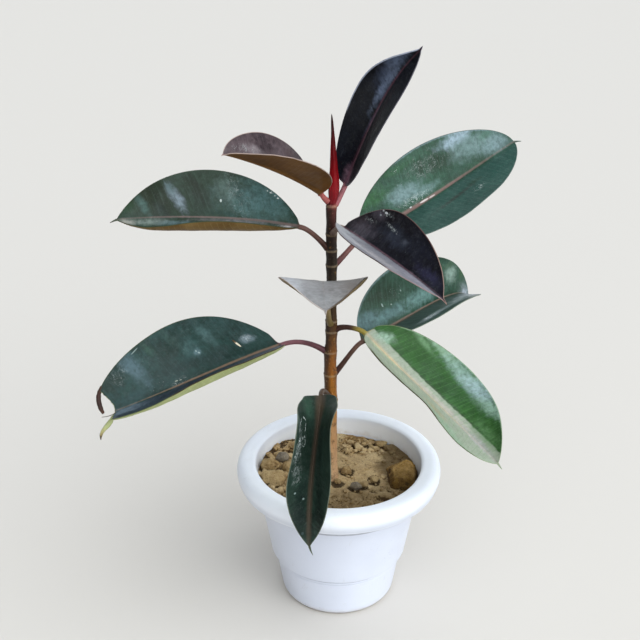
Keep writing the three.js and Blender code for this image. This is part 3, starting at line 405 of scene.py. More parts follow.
                               stalk=("#5c3a3e", "#7c5258"), dust=0.07, specks=0.5, scratch=0.3, gloss=0.34, veins=0.45, dustc="#6b838c",
                               bands=[(-60.0, -2.2, 1.6, "#343a46", 0.8)],
                               sheen_and_tone=[(143, 31, 27, 11, 66, "#5c727b", 0.62), (84, 26, 22, 12, 62, "#43605f", 0.5), (66, 36, 20, 8, 66, "#54706f", 0.5), (100, 44, 20, 6, 60, "#40564f", 0.4),
                                     (113, 28, 18, 7, 62, "#132821", 0.65), (171, 27, 16, 15, 0, "#0a2010", 0.95), (92, 15, 34, 7, 0, "#142823", 0.7), (60, 10, 26, 8, 0, "#122621", 0.6), (27, 18, 10, 6, 0, "#8c9da6", 0.62),
                                     (150, 6, 22, 7, 0, "#314a4c", 0.5), (162, -5, 24, 7, 0, "#66757f", 0.85), (105, -7, 34, 5, 0, "#23262e", 0.7), (80, 22, 5, 4, 0, "#6f8a90", 0.7), (124, 42, 12, 5, 60, "#3b5a4a", 0.5)],
                               margins=[(10, 130, 1.0, -1, "#3c2a1a", 0.85), (0, 175, 0.8, 1, "#2a3a20", 0.6)],
                               flecks=[(27, 19, 9, 6, 0, 1.2), (126, 8, 30, 9, 0, 0.6), (80, 28, 50, 22, 0, 0.4)], scribble=[(107, 3, 10, 4, 0, 1.0), (27, 19, 9, 5, 0, 1.1), (160, 30, 14, 12, 50, 0.4)],
                               marks=[(39.6, 15.4, 1.0, 3.8, -28, "#eadfc4", 1.0), (41.4, 19.2, 1.0, 2.2, -28, "#5b4326", 0.8), (110, 4.8, 1.6, 0.5, 0, "#a9b0a0", 0.8), (106, 4.2, 1.2, 0.4, 8, "#a9b0a0", 0.7), (136, 45, 4.5, 0.5, -25, "#93a5a0", 0.7), (79, 21, 1.2, 0.7, 40, "#9fb0ac", 0.8), (81, 23.5, 0.7, 1.0, 0, "#9fb0ac", 0.7)]),
    "leaf_10_front_hanging": dict(top=("#1b2b22", "#26382f"), vein="#2c453e", rib="#58493c", rib_w=6.4, rib_k=0.8, rim="#6d7668", under=("#767544", "#8c8b58"), uvein="#9a996a",
                                  stalk=("#44342a", "#57463a"), dust=0.05, specks=0.45, scratch=0.35, gloss=0.36, veins=0.3, dustc="#4c635f",
                                  sheen_and_tone=[(20, 15, 15, 11, 0, "#2f4f3e", 0.65), (22, -17, 14, 9, 0, "#2a3f33", 0.5), (66, -12, 44, 6, 0, "#0c1712", 0.55), (110, -14, 40, 10, 0, "#0a150f", 0.8), (112, 12, 34, 12, 0, "#0f1b19", 0.75), (128, 6, 22, 20, 0, "#0d1917", 0.6), (22, -30, 20, 6, 0, "#2a3f35", 0.4),
                                        (30, 34, 22, 3, 0, "#7f8d86", 0.4)],
                                  flecks=[(56, 29, 30, 9, 0, 0.9), (98, 12, 34, 14, 0, 0.6)], scribble=[(60, 31, 20, 6, 0, 1.2), (80, 22, 12, 8, 0, 0.8)],
                                  loops=[(44, 27, 10, 5.0, 25, 1.1), (52, 22, 4.5, 2.6, -20, 1.1), (57, 32, 6, 2.6, 12, 1.1), (64, 27, 4.5, 3.0, 40, 1.0), (70, 34, 6, 2.2, -10, 0.9), (76, 27, 5, 2.4, 20, 0.7)],
                                  marks=[(95.4, 20.4, 0.9, 1.3, 0, "#93a5a3", 0.8), (102, 8.5, 0.9, 1.2, 0, "#8fa19c", 0.8), (136, 6.5, 1.6, 1.3, 0, "#48585a", 0.45)]),
}


def bez(points, s):
    p = np.array(points, float)
    n = len(p) - 1
    s = np.asarray(s, float)[:, None]
    return sum(math.comb(n, k) * (1 - s) ** (n - k) * s ** k * p[k] for k in range(n + 1))


def bez_dir(points, s):
    p = np.array(points, float)
    return unit(bez(p[1:] - p[:-1], s))


def leaf_axes(L, s):
    """Midrib point, tangent, side and up at each s."""
    m, t = bez(L["midrib"], s), bez_dir(L["midrib"], s)
    side = unit(np.cross(t, np.array(L["face"], float)))
    up = np.cross(side, t)
    u = 2 * np.clip(s, 0, 1) - 1
    a = np.radians(L["roll"][0] + L["roll"][1] * u + L["roll"][2] * u * u)[:, None]
    return m, t, side * np.cos(a) + up * np.sin(a), up * np.cos(a) - side * np.sin(a)


def leaf_surface(L, s, x, w):
    """Mid-surface point and normal at s along and x millimetres across, on a blade of half width w there."""
    m, t, side, up = leaf_axes(L, s)
    u = (2 * np.clip(s, 0, 1) - 1)[:, None]
    v = np.abs(x) / w
    sign = np.where(x < 0, -1.0, 1.0)
    f = np.radians(np.where(x < 0, L["fb"][0] + L["fb"][1] * u + L["fb"][2] * u * u, L["fa"][0] + L["fa"][1] * u + L["fa"][2] * u * u))
    c = np.radians(np.where(x < 0, L["cb"], L["ca"]) + 0.0 * u)
    if "opens" in L:
        g = (L["opens"][0] + (1 - L["opens"][0]) * smooth(0, L["opens"][1], np.clip(s, 0, 1)))[:, None]
        f, c = f * g, c * g
    across = (np.sin(f + c * v) - np.sin(f)) / c * w
    rise = (np.cos(f) - np.cos(f + c * v)) / c * w
    point = m[:, None] + side[:, None] * (sign * across)[..., None] + up[:, None] * rise[..., None]
    blend = smooth(0.0, 2.5, np.abs(x))
    angle = (f + c * v) * blend
    normal = up[:, None] * np.cos(angle)[..., None] - side[:, None] * (sign * np.sin(angle))[..., None]
    return point, normal, v


def outline(L, s):
    h, reach = L.get("shoulder", (0, 1))
    return np.sin(np.pi * np.clip(s, 0, 1) ** L["peak"]) ** L["blunt"] * (1 - h * (1 - smooth(0, reach, s)))


def stem_radius(z):
    t = np.array(STEM)
    return np.interp(z, t[:, 0], t[:, 3])


WAVES = {  # gentle waves of the margin: height in mm, number along the blade, phase of each half
    "leaf_01_young_folded": (0.5, 1.6, 0.3, 1.2), "leaf_02_top_upright": (0.25, 1.4, 2.0, 0.6), "leaf_03_upper_right": (1.0, 1.8, 0.9, 2.6),
    "leaf_04_dark_right": (0.7, 1.5, 1.2, 2.9), "leaf_05_upper_left": (0.8, 1.7, 2.2, 0.4), "leaf_06_front_arched": (0.5, 1.6, 0.2, 1.4),
    "leaf_07_middle_right": (1.1, 1.9, 1.7, 0.2), "leaf_08_lower_right": (0.9, 2.1, 0.5, 2.2), "leaf_09_lower_left": (0.9, 1.8, 0.1, 1.9),
    "leaf_10_front_hanging": (1.1, 2.3, 1.0, 2.4),
}
TIP_BEND = {
    "leaf_02_top_upright": (-0.5, 0, 0.8), "leaf_03_upper_right": (3.0, 0, -2.5), "leaf_04_dark_right": (2.5, -1.0, -3.5), "leaf_05_upper_left": (-2.0, 0, -3.0),
    "leaf_10_front_hanging": (3.5, -2.0, 0.5), "leaf_08_lower_right": (1.0, -0.5, -2.5), "leaf_01_young_folded": (-1.0, 0, -1.5),
}


def leaf_arrays(L, rows=150, even=20):
    i = np.linspace(0, 1, rows)
    s = 0.5 - 0.5 * np.cos(np.pi * i)
    drip_rows = 10
    q = np.linspace(0, 1, drip_rows + 1)[1:]
    s_all = np.concatenate([s, 1 + L["drip"] * q])
    shape = outline(L, s)
    if L["name"] == "leaf_10_front_hanging":  # its shoulders are nearly square
        shape = shape + 0.085 * np.exp(-(((s - 0.085) / 0.05) ** 2)) * smooth(0, 0.03, s)
    shape = np.concatenate([shape, np.zeros(drip_rows)])
    least = np.concatenate([2.2 - 1.0 * s, 1.2 * (1 - q) ** 0.75 + 0.16])
    w = np.sqrt((L["half"] * shape) ** 2 + least ** 2)[:, None]

    # columns of one half, in millimetres from the midrib
    near = np.array([0, 0.45, 0.9, 1.4, 1.95, 2.6, 3.4, 4.6])
    k = np.minimum(w / 10.0, 1.0)
    m = np.minimum(0.55, 0.3 * w)
    mid = np.linspace(0, 1, even + 1)[1:-1][None]
    inner = near[None] * k
    start, end = inner[:, -1:], w - m
    out = w - m * np.array([1, 0.6, 0.3, 0.09, 0])[None]
    halfcols = np.concatenate([inner, start + (end - start) * mid, out], 1)
    x = np.concatenate([-halfcols[:, :0:-1], halfcols], 1)
    C = x.shape[1]

    point, normal, v = leaf_surface(L, s_all, x, w)
    mid_pts = bez(L["midrib"], s_all)
    along = np.concatenate([[0], np.cumsum(np.linalg.norm(np.diff(mid_pts, axis=0), axis=1))])[:, None] + 0 * x
    edge = w - np.abs(x)
    ax = np.abs(x)
    srel = np.clip(s_all, 0, 1)[:, None]

    amp, num, pa, pb = WAVES[L["name"]]
    wave = amp * np.where(x < 0, np.sin(2 * np.pi * num * srel + pb), np.sin(2 * np.pi * num * srel + pa)) * v ** 2 * np.clip(w / L["half"], 0, 1)
    wave = wave * smooth(0, 0.08, srel) * smooth(1.0, 0.9, srel)
    seed = 5.3 * (LEAVES.index(L) + 1)
    swell = np.array([[noise.noise((a * 0.034 + seed, b * 0.05 - seed, seed)) + 0.45 * noise.noise((a * 0.09 - seed, b * 0.12, seed)) for a, b in zip(ra, rb)] for ra, rb in zip(along, x)])
    wave = wave + 0.55 * swell * smooth(2.0, 9.0, ax) * smooth(0, 0.1, srel) * smooth(1.0, 0.88, srel)
    point = point + normal * wave[..., None]

    # thickness, rounded at the margin
    r = np.clip(edge / m, 0, 1)
    thick = 0.42 * np.sqrt(np.clip(1 - (1 - r) ** 2, 0, 1))
    # upper side: a shallow channel with the midrib as a fine line in it
    fade = (1 - 0.65 * srel) * np.clip(w / 8, 0, 1)
    channel = (-0.55 * np.exp(-(ax / 2.3) ** 2) + 0.42 * np.exp(-(ax / 0.75) ** 2)) * fade
    keel_h, keel_w = (1.9 * (1 - srel) ** 0.8 + 0.22) * np.clip(w / 5, 0.15, 1), np.minimum(2.2 * (1 - 0.6 * srel), w * 0.6)
    keel = keel_h * np.exp(-(ax / keel_w) ** 2.4)
    # lateral veins, sunken above and standing out below
    phase = (along - 0.36 * ax) / 6.4
    pulse = (0.5 + 0.5 * np.cos(2 * np.pi * phase)) ** 10
    vein = 0.085 * pulse * smooth(2.5, 6.0, ax) * smooth(1.5, 5.0, edge)
    top = point + normal * (thick + channel - vein)[..., None]
    low = point - normal * (thick + keel + 0.9 * vein)[..., None]

    # blade rows start as the round stalk
    S = s_all
    m0, t0, side0, up0 = leaf_axes(L, S)
    b = smooth(0.0, 0.022, S)[:, None, None]
    ang = np.linspace(-1, 1, C) * np.pi / 2
    centre = m0 - 0.9 * up0
    ring_top = centre[:, None] + 2.4 * (side0[:, None] * np.sin(ang)[None, :, None] + up0[:, None] * np.cos(ang)[None, :, None])
    ring_low = centre[:, None] + 2.4 * (side0[:, None] * np.sin(ang)[None, :, None] - up0[:, None] * np.cos(ang)[None, :, None])
    top = ring_top * (1 - b) + top * b
    low = ring_low * (1 - b) + low * b
    bend = np.array(TIP_BEND.get(L["name"], (0, 0, 0)), float)
    qs = np.clip((S - 1 + 0.02) / (L["drip"] + 0.02), 0, 1) ** 2
    top = top + qs[:, None, None] * bend
    low = low + qs[:, None, None] * bend

    # stalk rings, from inside the stem to the blade
    steps = 34
    t = np.linspace(0, 1, 240)
    c = bez(L["stalk"], t)
    off = np.hypot(c[:, 0] + 8.3, c[:, 1])
    begin = t[np.argmax(off > stem_radius(c[:, 2]) - 1.6)]
    t = np.linspace(begin, 1, steps + 1)[:-1]
    d = bez_dir(L["stalk"], t)
    c = bez(L["stalk"], t) - 0.9 * (t ** 3)[:, None] * up0[0]
    # tangents turn into the blade's at the end
    k = smooth(0.8, 1.0, t)[:, None]
    d = unit(d * (1 - k) + t0[0] * k)
    side, ring_t, ring_l = side0[0], [], []
    rad = 2.35 + 1.0 * (1 - (t - begin) / (1 - begin)) ** 4 + 0.05 * t ** 3
    for n in range(steps - 1, -1, -1):
        side = unit(side - d[n] * side.dot(d[n]))
        upn = np.cross(side, d[n])
        # a stalk is slightly flattened above
        ring_t.insert(0, c[n] + rad[n] * (side * np.sin(ang)[:, None] + upn * (0.93 * np.cos(ang)[:, None])))
        ring_l.insert(0, c[n] + rad[n] * (side * np.sin(ang)[:, None] - upn * np.cos(ang)[:, None]))
    top = np.concatenate([np.array(ring_t), top])
    low = np.concatenate([np.array(ring_l), low])
    length = np.concatenate([np.linalg.norm(np.diff(c, axis=0), axis=1), [np.linalg.norm(c[-1] - m0[0] + 0.9 * up0[0])]])
    back = -np.cumsum(length[::-1])[::-1]
    pad = np.zeros((steps, C))
    x = np.concatenate([pad, x])
    along = np.concatenate([back[:, None] + pad, along])
    edge = np.concatenate([pad + 30, edge])
    stalk = np.concatenate([pad + 1, (1 - b[..., 0]) + 0 * v])

    rings = np.concatenate([top, low[:, -2:0:-1]], 1)
    pick = lambda a: np.concatenate([a, a[:, -2:0:-1]], 1)
    upper = np.concatenate([np.ones_like(x), np.zeros_like(x[:, 2:])], 1)
    upper[:, 0] = upper[:, C - 1] = 0.5
    attrs = {"lat": pick(x), "along": pick(along), "edge": pick(edge), "upper": upper, "stalk": pick(stalk)}
    return rings, attrs


def leaf_material(L):
    K = LOOKS[L["name"]]
    M = Mat(L["name"])
    along, lat, edge, upper, stalk = (M.attr(k) for k in ("along", "lat", "edge", "upper", "stalk"))
    side = M.math("ABSOLUTE", lat)
    seed = 17.0 * (LEAVES.index(L) + 1)
    flat = M.xyz(along, lat, 0.0)
    vec = M.scale(M.xyz(along, lat, M.mul(upper, 60.0)), (1, 1, 1), (seed * 3.1, seed, seed * 0.7))
    big = M.noise(vec, 0.028, 3, 0.5, 0.3)
    mid = M.noise(vec, 0.24, 4, 0.6, 0.4)
    fine = M.noise(vec, 1.7, 3, 0.6)
    wob = M.noise(vec, 0.05, 2, 0.5)
    shift = M.add(M.math("SUBTRACT", along, M.mul(side, 0.36)), M.mul(wob, 3.0))
    run = M.scale(M.xyz(shift, lat, M.mul(upper, 60.0)), (1.0, 0.10, 1.0), (seed, seed * 2.0, 0))
    streak = M.noise(run, 0.42, 4, 0.62, 0.1)  # long across the blade, as the side veins run
    ragged = M.math("SUBTRACT", M.noise(vec, 0.10, 5, 0.62, 0.4), 0.5)
    drawn = M.add(ragged, M.mul(M.math("SUBTRACT", streak, 0.5), 0.75))  # edges drawn out along the side veins

    vein = M.step(M.math("PINGPONG", M.mul(shift, 1 / 6.4), 0.5), 0.0, 0.10, 1, 0)
    small = M.step(M.math("PINGPONG", M.mul(shift, 1 / 1.28), 0.5), 0.05, 0.3, 1, 0)
    away = M.mul(M.step(side, 2.5, 7.0), M.step(edge, 0.8, 3.5))
    vein, small = M.mul(vein, away), M.mul(small, away)

    def patch(a, l, ra, rl, turn, rough=1.3, inner=0.1):
        n = M.node("ShaderNodeMapping", vector_type="TEXTURE")
        M.put(n.inputs["Vector"], flat)
        n.inputs["Location"].default_value = (a, l, 0)
        n.inputs["Rotation"].default_value = (0, 0, math.radians(turn))
        n.inputs["Scale"].default_value = (ra, rl, 1)
        d = M.node("ShaderNodeVectorMath", operation="LENGTH")
        M.put(d.inputs[0], n.outputs[0])
        return M.step(M.add(d.outputs["Value"], M.mul(drawn if rough > 1 else ragged, rough)), inner, 1.12, 1, 0)

    def ring(a, l, ra, rl, turn):
        n = M.node("ShaderNodeMapping", vector_type="TEXTURE")
        M.put(n.inputs["Vector"], M.xyz(M.add(along, M.mul(ragged, 9.0)), M.add(lat, M.add(M.mul(wob, 3.0), M.mul(M.math("SUBTRACT", mid, 0.5), 3.0))), 0.0))
        n.inputs["Location"].default_value = (a, l + 1.5, 0)
        n.inputs["Rotation"].default_value = (0, 0, math.radians(turn))
        n.inputs["Scale"].default_value = (ra, rl, 1)
        d = M.node("ShaderNodeVectorMath", operation="LENGTH")
        M.put(d.inputs[0], n.outputs[0])
        return M.step(M.math("ABSOLUTE", M.math("SUBTRACT", d.outputs["Value"], 1.0)), 0.12 / (ra * rl) ** 0.5, 0.5 / (ra * rl) ** 0.5, 1, 0)

    def zones(key, base):
        total = None
        for a, l, ra, rl, turn, k in K[key]:
            z = M.mul(patch(a, l, ra, rl, turn), k)
            total = z if total is None else M.math("MAXIMUM", total, z)
        return M.add(base, total) if total is not None else base

    # upper side
    top = M.mix(M.step(M.add(M.mul(big, 0.7), M.mul(mid, 0.3)), 0.38, 0.6), K["top"][0], K["top"][1])
    # painted sheen and shade: a half of the fold, or a strip of it, lighter or darker as the light falls on it
    for a, b, soft, colour, k in K.get("bands", ()):
        x = M.add(lat, M.mul(ragged, 4.0))
        top = M.mix(M.mul(M.mul(M.step(x, a - soft, a + soft), M.step(x, b + soft, b - soft)), k), top, colour)
    # painted sheen along the margin, and on leaf 06 painted shade along one edge
    for a, b, soft, half, colour, k, *reach in K.get("hem", ()):
        inside = M.step(M.add(edge, M.mul(M.math("SUBTRACT", streak, 0.5), soft * 2.2)), max(b - soft, 0.2), b + soft * 0.5, 1, 0)
        inside = M.mul(inside, M.step(M.mul(lat, float(half)), 1.0, 4.0))
        if reach:
            x = M.add(along, M.mul(ragged, 14.0))
            inside = M.mul(inside, M.mul(M.step(x, reach[0] - 6, reach[0] + 6), M.step(x, reach[1] + 6, reach[1] - 6)))
        top = M.mix(M.mul(inside, k), top, colour)
    # painted reflections: pale patches of sheen, broken along the side veins, and dark patches where the blade mirrors
    # dark surroundings, with some deeper green of the leaf
    cloud = M.add(M.mul(streak, 0.9), M.mul(mid, 0.75))
    cloud = M.step(cloud, 0.5, 1.0, 0.45, 1.15)
    sheen_mask = 0.0
    for a, l, ra, rl, turn, colour, k in K.get("sheen_and_tone", ()):
        z = patch(a, l, ra, rl, turn)
        light = sum(lin(colour)[:3]) > sum(lin(K["top"][1])[:3])
        if light:
            z = M.mul(z, cloud, clamp=True)
            sheen_mask = M.math("MAXIMUM", sheen_mask, M.mul(z, k))
        top = M.mix(M.mul(z, k), top, colour)
    top = M.mix(M.mul(M.step(streak, 0.45, 0.75), 0.24 * K["veins"]), top, K["vein"])
    top = M.mix(M.mul(vein, 0.34 * K["veins"]), top, K["vein"])
    top = M.mix(M.mul(small, 0.2 * K["veins"]), top, K["vein"])
    top = M.shade(top, M.add(M.mul(mid, 0.7), 0.65))
    film = M.mul(M.step(M.noise(vec, 0.034, 4, 0.55, 0.3), 0.42, 0.66), M.add(M.mul(streak, 0.9), M.mul(mid, 0.5)))
    top = M.mix(M.mul(film, K["dust"]), top, K["dustc"])
    thick = zones("flecks", 0.14)
    spot = M.mul(M.step(M.noise(vec, 1.05, 3, 0.55), M.math("SUBTRACT", 0.79, M.mul(thick, 0.15), clamp=True), M.math("SUBTRACT", 0.84, M.mul(thick, 0.15), clamp=True)), M.math("MINIMUM", thick, 1.0))
    top = M.mix(M.mul(spot, M.add(K["specks"] * 0.6, M.mul(fine, 0.8)), clamp=True), top, "#ccd2d0")
    where = zones("scribble", 0.05)
    line = 0.0
    for size, warp, off in ((0.085, 1.4, 0.0), (0.16, 2.2, 9.0), (0.33, 2.4, 23.0)):
        c = M.noise(M.scale(vec, (1, 1, 1), (off, -off, 0)), size, 3, 0.6, warp)
        one = M.step(M.math("ABSOLUTE", M.math("SUBTRACT", c, 0.5)), 0.002, 0.02, 1, 0)
        one = M.mul(one, M.step(M.noise(M.scale(vec, (1, 1, 1), (-off, off, 4)), 0.2, 3, 0.6), 0.47, 0.58))
        line = M.math("MAXIMUM", line, one)
    line = M.mul(line, M.mul(where, M.add(K["scratch"], 0.45)), clamp=True)
    broken = M.step(M.noise(M.scale(vec, (1, 1, 1), (3, 19, 5)), 0.24, 3, 0.6), 0.46, 0.56)
    for a, l, ra, rl, turn, k in K.get("loops", ()):
        line = M.math("MAXIMUM", line, M.mul(M.mul(ring(a, l, ra, rl, turn), k), broken, clamp=True))
    top = M.mix(line, top, "#c9d1ce")
    taper = M.step(along, 0, 190, 1.0, 0.4)
    rib = M.step(M.math("DIVIDE", M.add(side, M.mul(ragged, 1.2)), taper), K["rib_w"] * 0.3, K["rib_w"] * 1.25, 1, 0)
    rib = M.mul(rib, M.add(M.mul(fine, 0.4), M.add(M.mul(mid, 0.5), 0.45)), clamp=True)
    fade = M.step(M.add(along, M.mul(ragged, 30.0)), 85, 165, 1.0, 0.35)
    rib = M.mul(rib, fade)
    top = M.mix(M.mul(rib, K["rib_k"]), top, K["rib"])
    core = M.mul(M.step(M.math("DIVIDE", side, taper), 0.25, 0.9, 1, 0), M.add(M.mul(mid, 0.6), 0.1))
    top = M.mix(M.mul(M.mul(core, fade), 0.5 * K["rib_k"]), top, K["stalk"][1])

    # underside
    low = M.mix(M.step(big, 0.3, 0.7), K["under"][0], K["under"][1])
    low = M.mix(M.mul(vein, 0.5), low, K["uvein"])
    low = M.mix(M.mul(small, 0.25), low, K["uvein"])
    low = M.mix(M.step(side, 1.0, 2.8, 0.7, 0), low, K["uvein"])
    low = M.shade(low, M.add(M.mul(mid, 0.5), 0.75))
    low = M.mix(M.mul(spot, 0.15), low, "#4a3a20")
    body = M.mix(upper, low, top)
    rim = M.step(M.add(edge, M.mul(fine, 0.5)), 0.5, 1.15, 1, 0)
    body = M.mix(M.mul(rim, M.add(M.mul(mid, 0.7), 0.4), clamp=True), body, K["rim"])
    # lines along the edge: the margin's own colour, with painted highlight along lit edges and painted shade under
    # rolled ones
    for a0, a1, wide, half, colour, k in K.get("margins", ()):
        x = M.add(along, M.mul(ragged, 10.0))
        z = M.step(M.add(edge, M.mul(mid, 0.5)), wide * 0.8, wide * 1.25, 1, 0)
        z = M.mul(z, M.step(M.mul(lat, float(half)), 0.0, 3.0))
        z = M.mul(z, M.mul(M.step(x, a0 - 5, a0 + 5), M.step(x, a1 + 5, a1 - 5)))
        body = M.mix(M.mul(z, k), body, colour)
    for a, l, ra, rl, turn, colour, k in K.get("marks", ()):
        z = patch(a, l, ra, rl, turn, 0.5, 0.86)
        body = M.mix(M.mul(z, k), body, colour)
    # stalk
    stem_end = M.mix(M.step(along, *K.get("turns", (-38, -2))), K["stalk"][0], K["stalk"][1])
    stem_end = M.shade(stem_end, M.add(M.mul(M.noise(M.scale(vec, (0.25, 1, 1)), 0.5, 4, 0.6), 0.9), 0.5))
    body = M.mix(stalk, body, stem_end)

    rough_top = M.add(M.add(K["gloss"] - 0.06, M.mul(mid, 0.12)), M.mul(M.add(M.mul(film, K["dust"]), spot), 0.16))
    rough_top = M.add(rough_top, M.mul(M.add(line, sheen_mask), 0.16))
    rough_top = M.add(rough_top, M.mul(fine, 0.06))
    rough_low = M.add(0.5, M.mul(fine, 0.14))
    node = M.node("ShaderNodeMix", data_type="FLOAT")
    M.put(node.inputs[0], upper)
    M.put(node.inputs[2], rough_low)
    M.put(node.inputs[3], rough_top)
    rough = node.outputs[0]
    height = M.add(M.mul(vein, -0.05), M.mul(small, -0.012))
    height = M.add(height, M.mul(fine, 0.04))
    height = M.add(height, M.mul(mid, 0.22))
    height = M.add(height, M.mul(streak, 0.12))
    height = M.add(height, M.mul(big, 1.2))
    height = M.add(height, M.mul(line, 0.04))
    return M.done(body, rough, height, Specular_IOR_Level=0.13, Coat_Weight=0.06, Coat_Roughness=0.16)


def rows_of(rings, attrs):
    verts, faces = loft(rings)
    flat = {}
    for key, a in attrs.items():
        flat[key] = np.concatenate([a.ravel(), [a[0].mean()], [a[-1].mean()]])
    return verts, faces, flat


leaf_objects = {}
for L in LEAVES:
    rings, attrs = leaf_arrays(L)
    verts, faces, flat = rows_of(rings, attrs)
    leaf_objects[L["name"]] = make(L["name"].replace("leaf_", "blade_"), verts, faces, leaf_material(L), flat)

# ------------------------------------------------------------------ soil


def inner_radius(z):
    t = np.array(POT_INNER)
    return np.interp(z, t[:, 1], t[:, 0])


def edge_height(deg):
    t = np.array(SOIL_EDGE, float)
    return np.interp(np.mod(deg, 360), t[:, 0], t[:, 1])


def soil_base(x, y, f):
    rise = (edge_height(np.degrees(np.arctan2(y, x))) - SOIL_LEVEL) * f ** 2.6
    bumps = 0.7 * np.sin(x * 0.16 + 1.3) * np.cos(y * 0.19 - 0.6) + 0.45 * np.sin(x * 0.41 + y * 0.33)
    return SOIL_LEVEL + rise + bumps * (1 - f ** 6)


def soil_detail(x, y):
    """Crumbly on the left and along the wall, smoother and dusty in the middle and right."""
    p = np.stack([x, y, 0 * x], 1)
    left = smooth(-22, -46, x)
    back = smooth(34, 50, y) * smooth(-4, 10, x) * smooth(66, 50, x)
    front = smooth(-26, -42, y) * 0.5
    crumbly = np.clip(0.10 + 0.85 * left + 0.55 * back + 0.45 * front, 0, 1)
    lumps = np.zeros(len(p))
    for i, (a, b, c) in enumerate(p):
        wa, wb = a + 1.6 * noise.noise((a * 0.2, b * 0.2, 7.0)), b + 1.6 * noise.noise((a * 0.2, b * 0.2, 17.0))
        for size, high in ((0.11, 3.6), (0.27, 1.7), (0.62, 0.8)):
            d, at = noise.voronoi((wa * size + 3.1, wb * size + 5.0 * high, 0.3))
            tall = 0.35 + 0.9 * noise.cell((at[0][0] * 41.0, at[0][1] * 37.0, 2.0))
            lumps[i] += high * (max(0.0, tall) * max(0.0, 1 - (d[0] / 0.72) ** 2) - 0.28)
    small = fractal(p, 0.55, 4, 2.0, 0.62)
    large = fractal(p, 0.055, 3, 5.0)
    middle = fractal(p, 0.16, 3, 8.0, 0.55)
    return crumbly * lumps + (0.24 + 0.4 * crumbly) * small + 0.55 * large + 0.55 * middle, crumbly


def soil_object():
    n, rings = 400, 150
    a = np.linspace(0, 2 * np.pi, n, endpoint=False) - np.pi / 2
    ca, sa = np.cos(a), np.sin(a)
    f = np.linspace(0.012, 1, rings)
    edge = edge_height(np.degrees(np.arctan2(sa, ca)))
    r_edge = inner_radius(edge) - 0.35
    X = f[:, None] * (r_edge * ca)[None]
    Y = f[:, None] * (r_edge * sa)[None]
    F = np.repeat(f[:, None], n, 1)
    base = soil_base(X.ravel(), Y.ravel(), F.ravel())
    detail, crumbly = soil_detail(X.ravel(), Y.ravel())
    # a shallow furrow and a half-buried ridge in front on the right, and a dip against the wall
    x, y = X.ravel(), Y.ravel()
    ridge = 2.8 * np.exp(-(((x - 44 + 0.35 * (y + 32)) / 10.0) ** 2) - (((y + 33) / 3.0) ** 2)) - 2.4 * np.exp(-(((x - 47) / 11) ** 2) - (((y + 39.5) / 3.0) ** 2))
    ridge += 1.6 * np.exp(-(((x - 38) / 8) ** 2) - (((y + 46) / 2.4) ** 2)) - 1.5 * np.exp(-(((x - 40) / 9) ** 2) - (((y + 26) / 2.6) ** 2))
    mound = 2.4 * np.exp(-(((x - 33) / 20) ** 2) - (((y - 14) / 18) ** 2)) - 1.6 * np.exp(-(((x - 16) / 10) ** 2) - (((y + 10) / 9) ** 2))
    turn = np.degrees(np.arctan2(y, x))
    wall = -5.5 * smooth(0.80, 0.97, F.ravel()) * smooth(-78, -52, turn) * smooth(8, -8, turn)
    wall += -2.2 * smooth(0.9, 0.99, F.ravel()) * (0.5 + 0.5 * np.sin(turn * 0.11 + 0.7))
    # dips round the clods; shade is where painted shade falls on the soil, near the clods and along the wall on the
    # left
    sink, shade = np.zeros_like(x), 0.65 * smooth(-30, -50, x) * smooth(0.55, 0.9, F.ravel())
    for _, c, r, st, _ in CLODS:
        d = np.hypot((x - c[0]) / (r * st[0]), (y - c[1]) / (r * st[1]))
        near = smooth(1.0 + 5.5 / r, 0.95, d)
        sink -= min(2.4, 0.35 * r) * near
        shade = np.maximum(shade, near)
    z = base + detail * (1 - 0.35 * F.ravel() ** 8) + ridge + mound + wall + sink - 0.4
    top = np.stack([x, y, z], 1).reshape(rings, n, 3)
    # keep inside the wall
    most = inner_radius(top[..., 2]) - 0.3
    now = np.hypot(top[..., 0], top[..., 1])
    k = np.minimum(1, most / np.maximum(now, 1e-6))
    top[..., 0] *= k
    top[..., 1] *= k
    side = []
    for zz in (126.0, 110.0, 80.0, 50.2, 44.5, 24.0, 6.5, 3.4):
        rr = inner_radius(zz) - 0.4
        side.append(np.stack([rr * ca, rr * sa, np.full(n, zz)], 1))
    inner = [np.stack([r * ca, r * sa, np.full(n, 3.4 + (0.5 * np.sin(9 * a + r) if r > 4 else 0))], 1) for r in (45.0, 36.0, 28.0, 14.0, 3.0)]
    rings_all = np.concatenate([top, np.array(side), np.array(inner)])
    verts, faces = loft(rings_all)
    # how deep a point lies in its surroundings, which with shade gives the painted shading of the soil's colour:
    # darker in dips and by the clods, lighter on rises
    zz = top[..., 2]
    blur = zz.copy()
    for _ in range(6):
        blur = (blur + np.roll(blur, 1, 1) + np.roll(blur, -1, 1) + np.vstack([blur[1:], blur[-1:]]) + np.vstack([blur[:1], blur[:-1]])) / 5
    wide = blur.copy()
    for _ in range(30):
        wide = (wide + np.roll(wide, 1, 1) + np.roll(wide, -1, 1) + np.vstack([wide[1:], wide[-1:]]) + np.vstack([wide[:1], wide[:-1]])) / 5
    painted_shading = np.clip((blur - zz) / 0.7 + (wide - zz) / 1.8 + 1.05 * shade.reshape(rings, n), -1, 1)
    pad = np.zeros(len(verts))
    pad[: rings * n] = painted_shading.ravel()
    rough = np.full(len(verts), 0.5)
    rough[: rings * n] = crumbly
    return verts, faces, {"painted_shading": pad, "crumbly": rough}, top


def icosphere(level):
    me = bpy.data.meshes.new("tmp")
    import bmesh
    bm = bmesh.new()
    bmesh.ops.create_icosphere(bm, subdivisions=level, radius=1)
    bm.verts.ensure_lookup_table()
    v = np.array([tuple(x.co) for x in bm.verts])
    f = [tuple(x.index for x in face.verts) for face in bm.faces]
    bm.free()
    bpy.data.meshes.remove(me)
    return unit(v), f


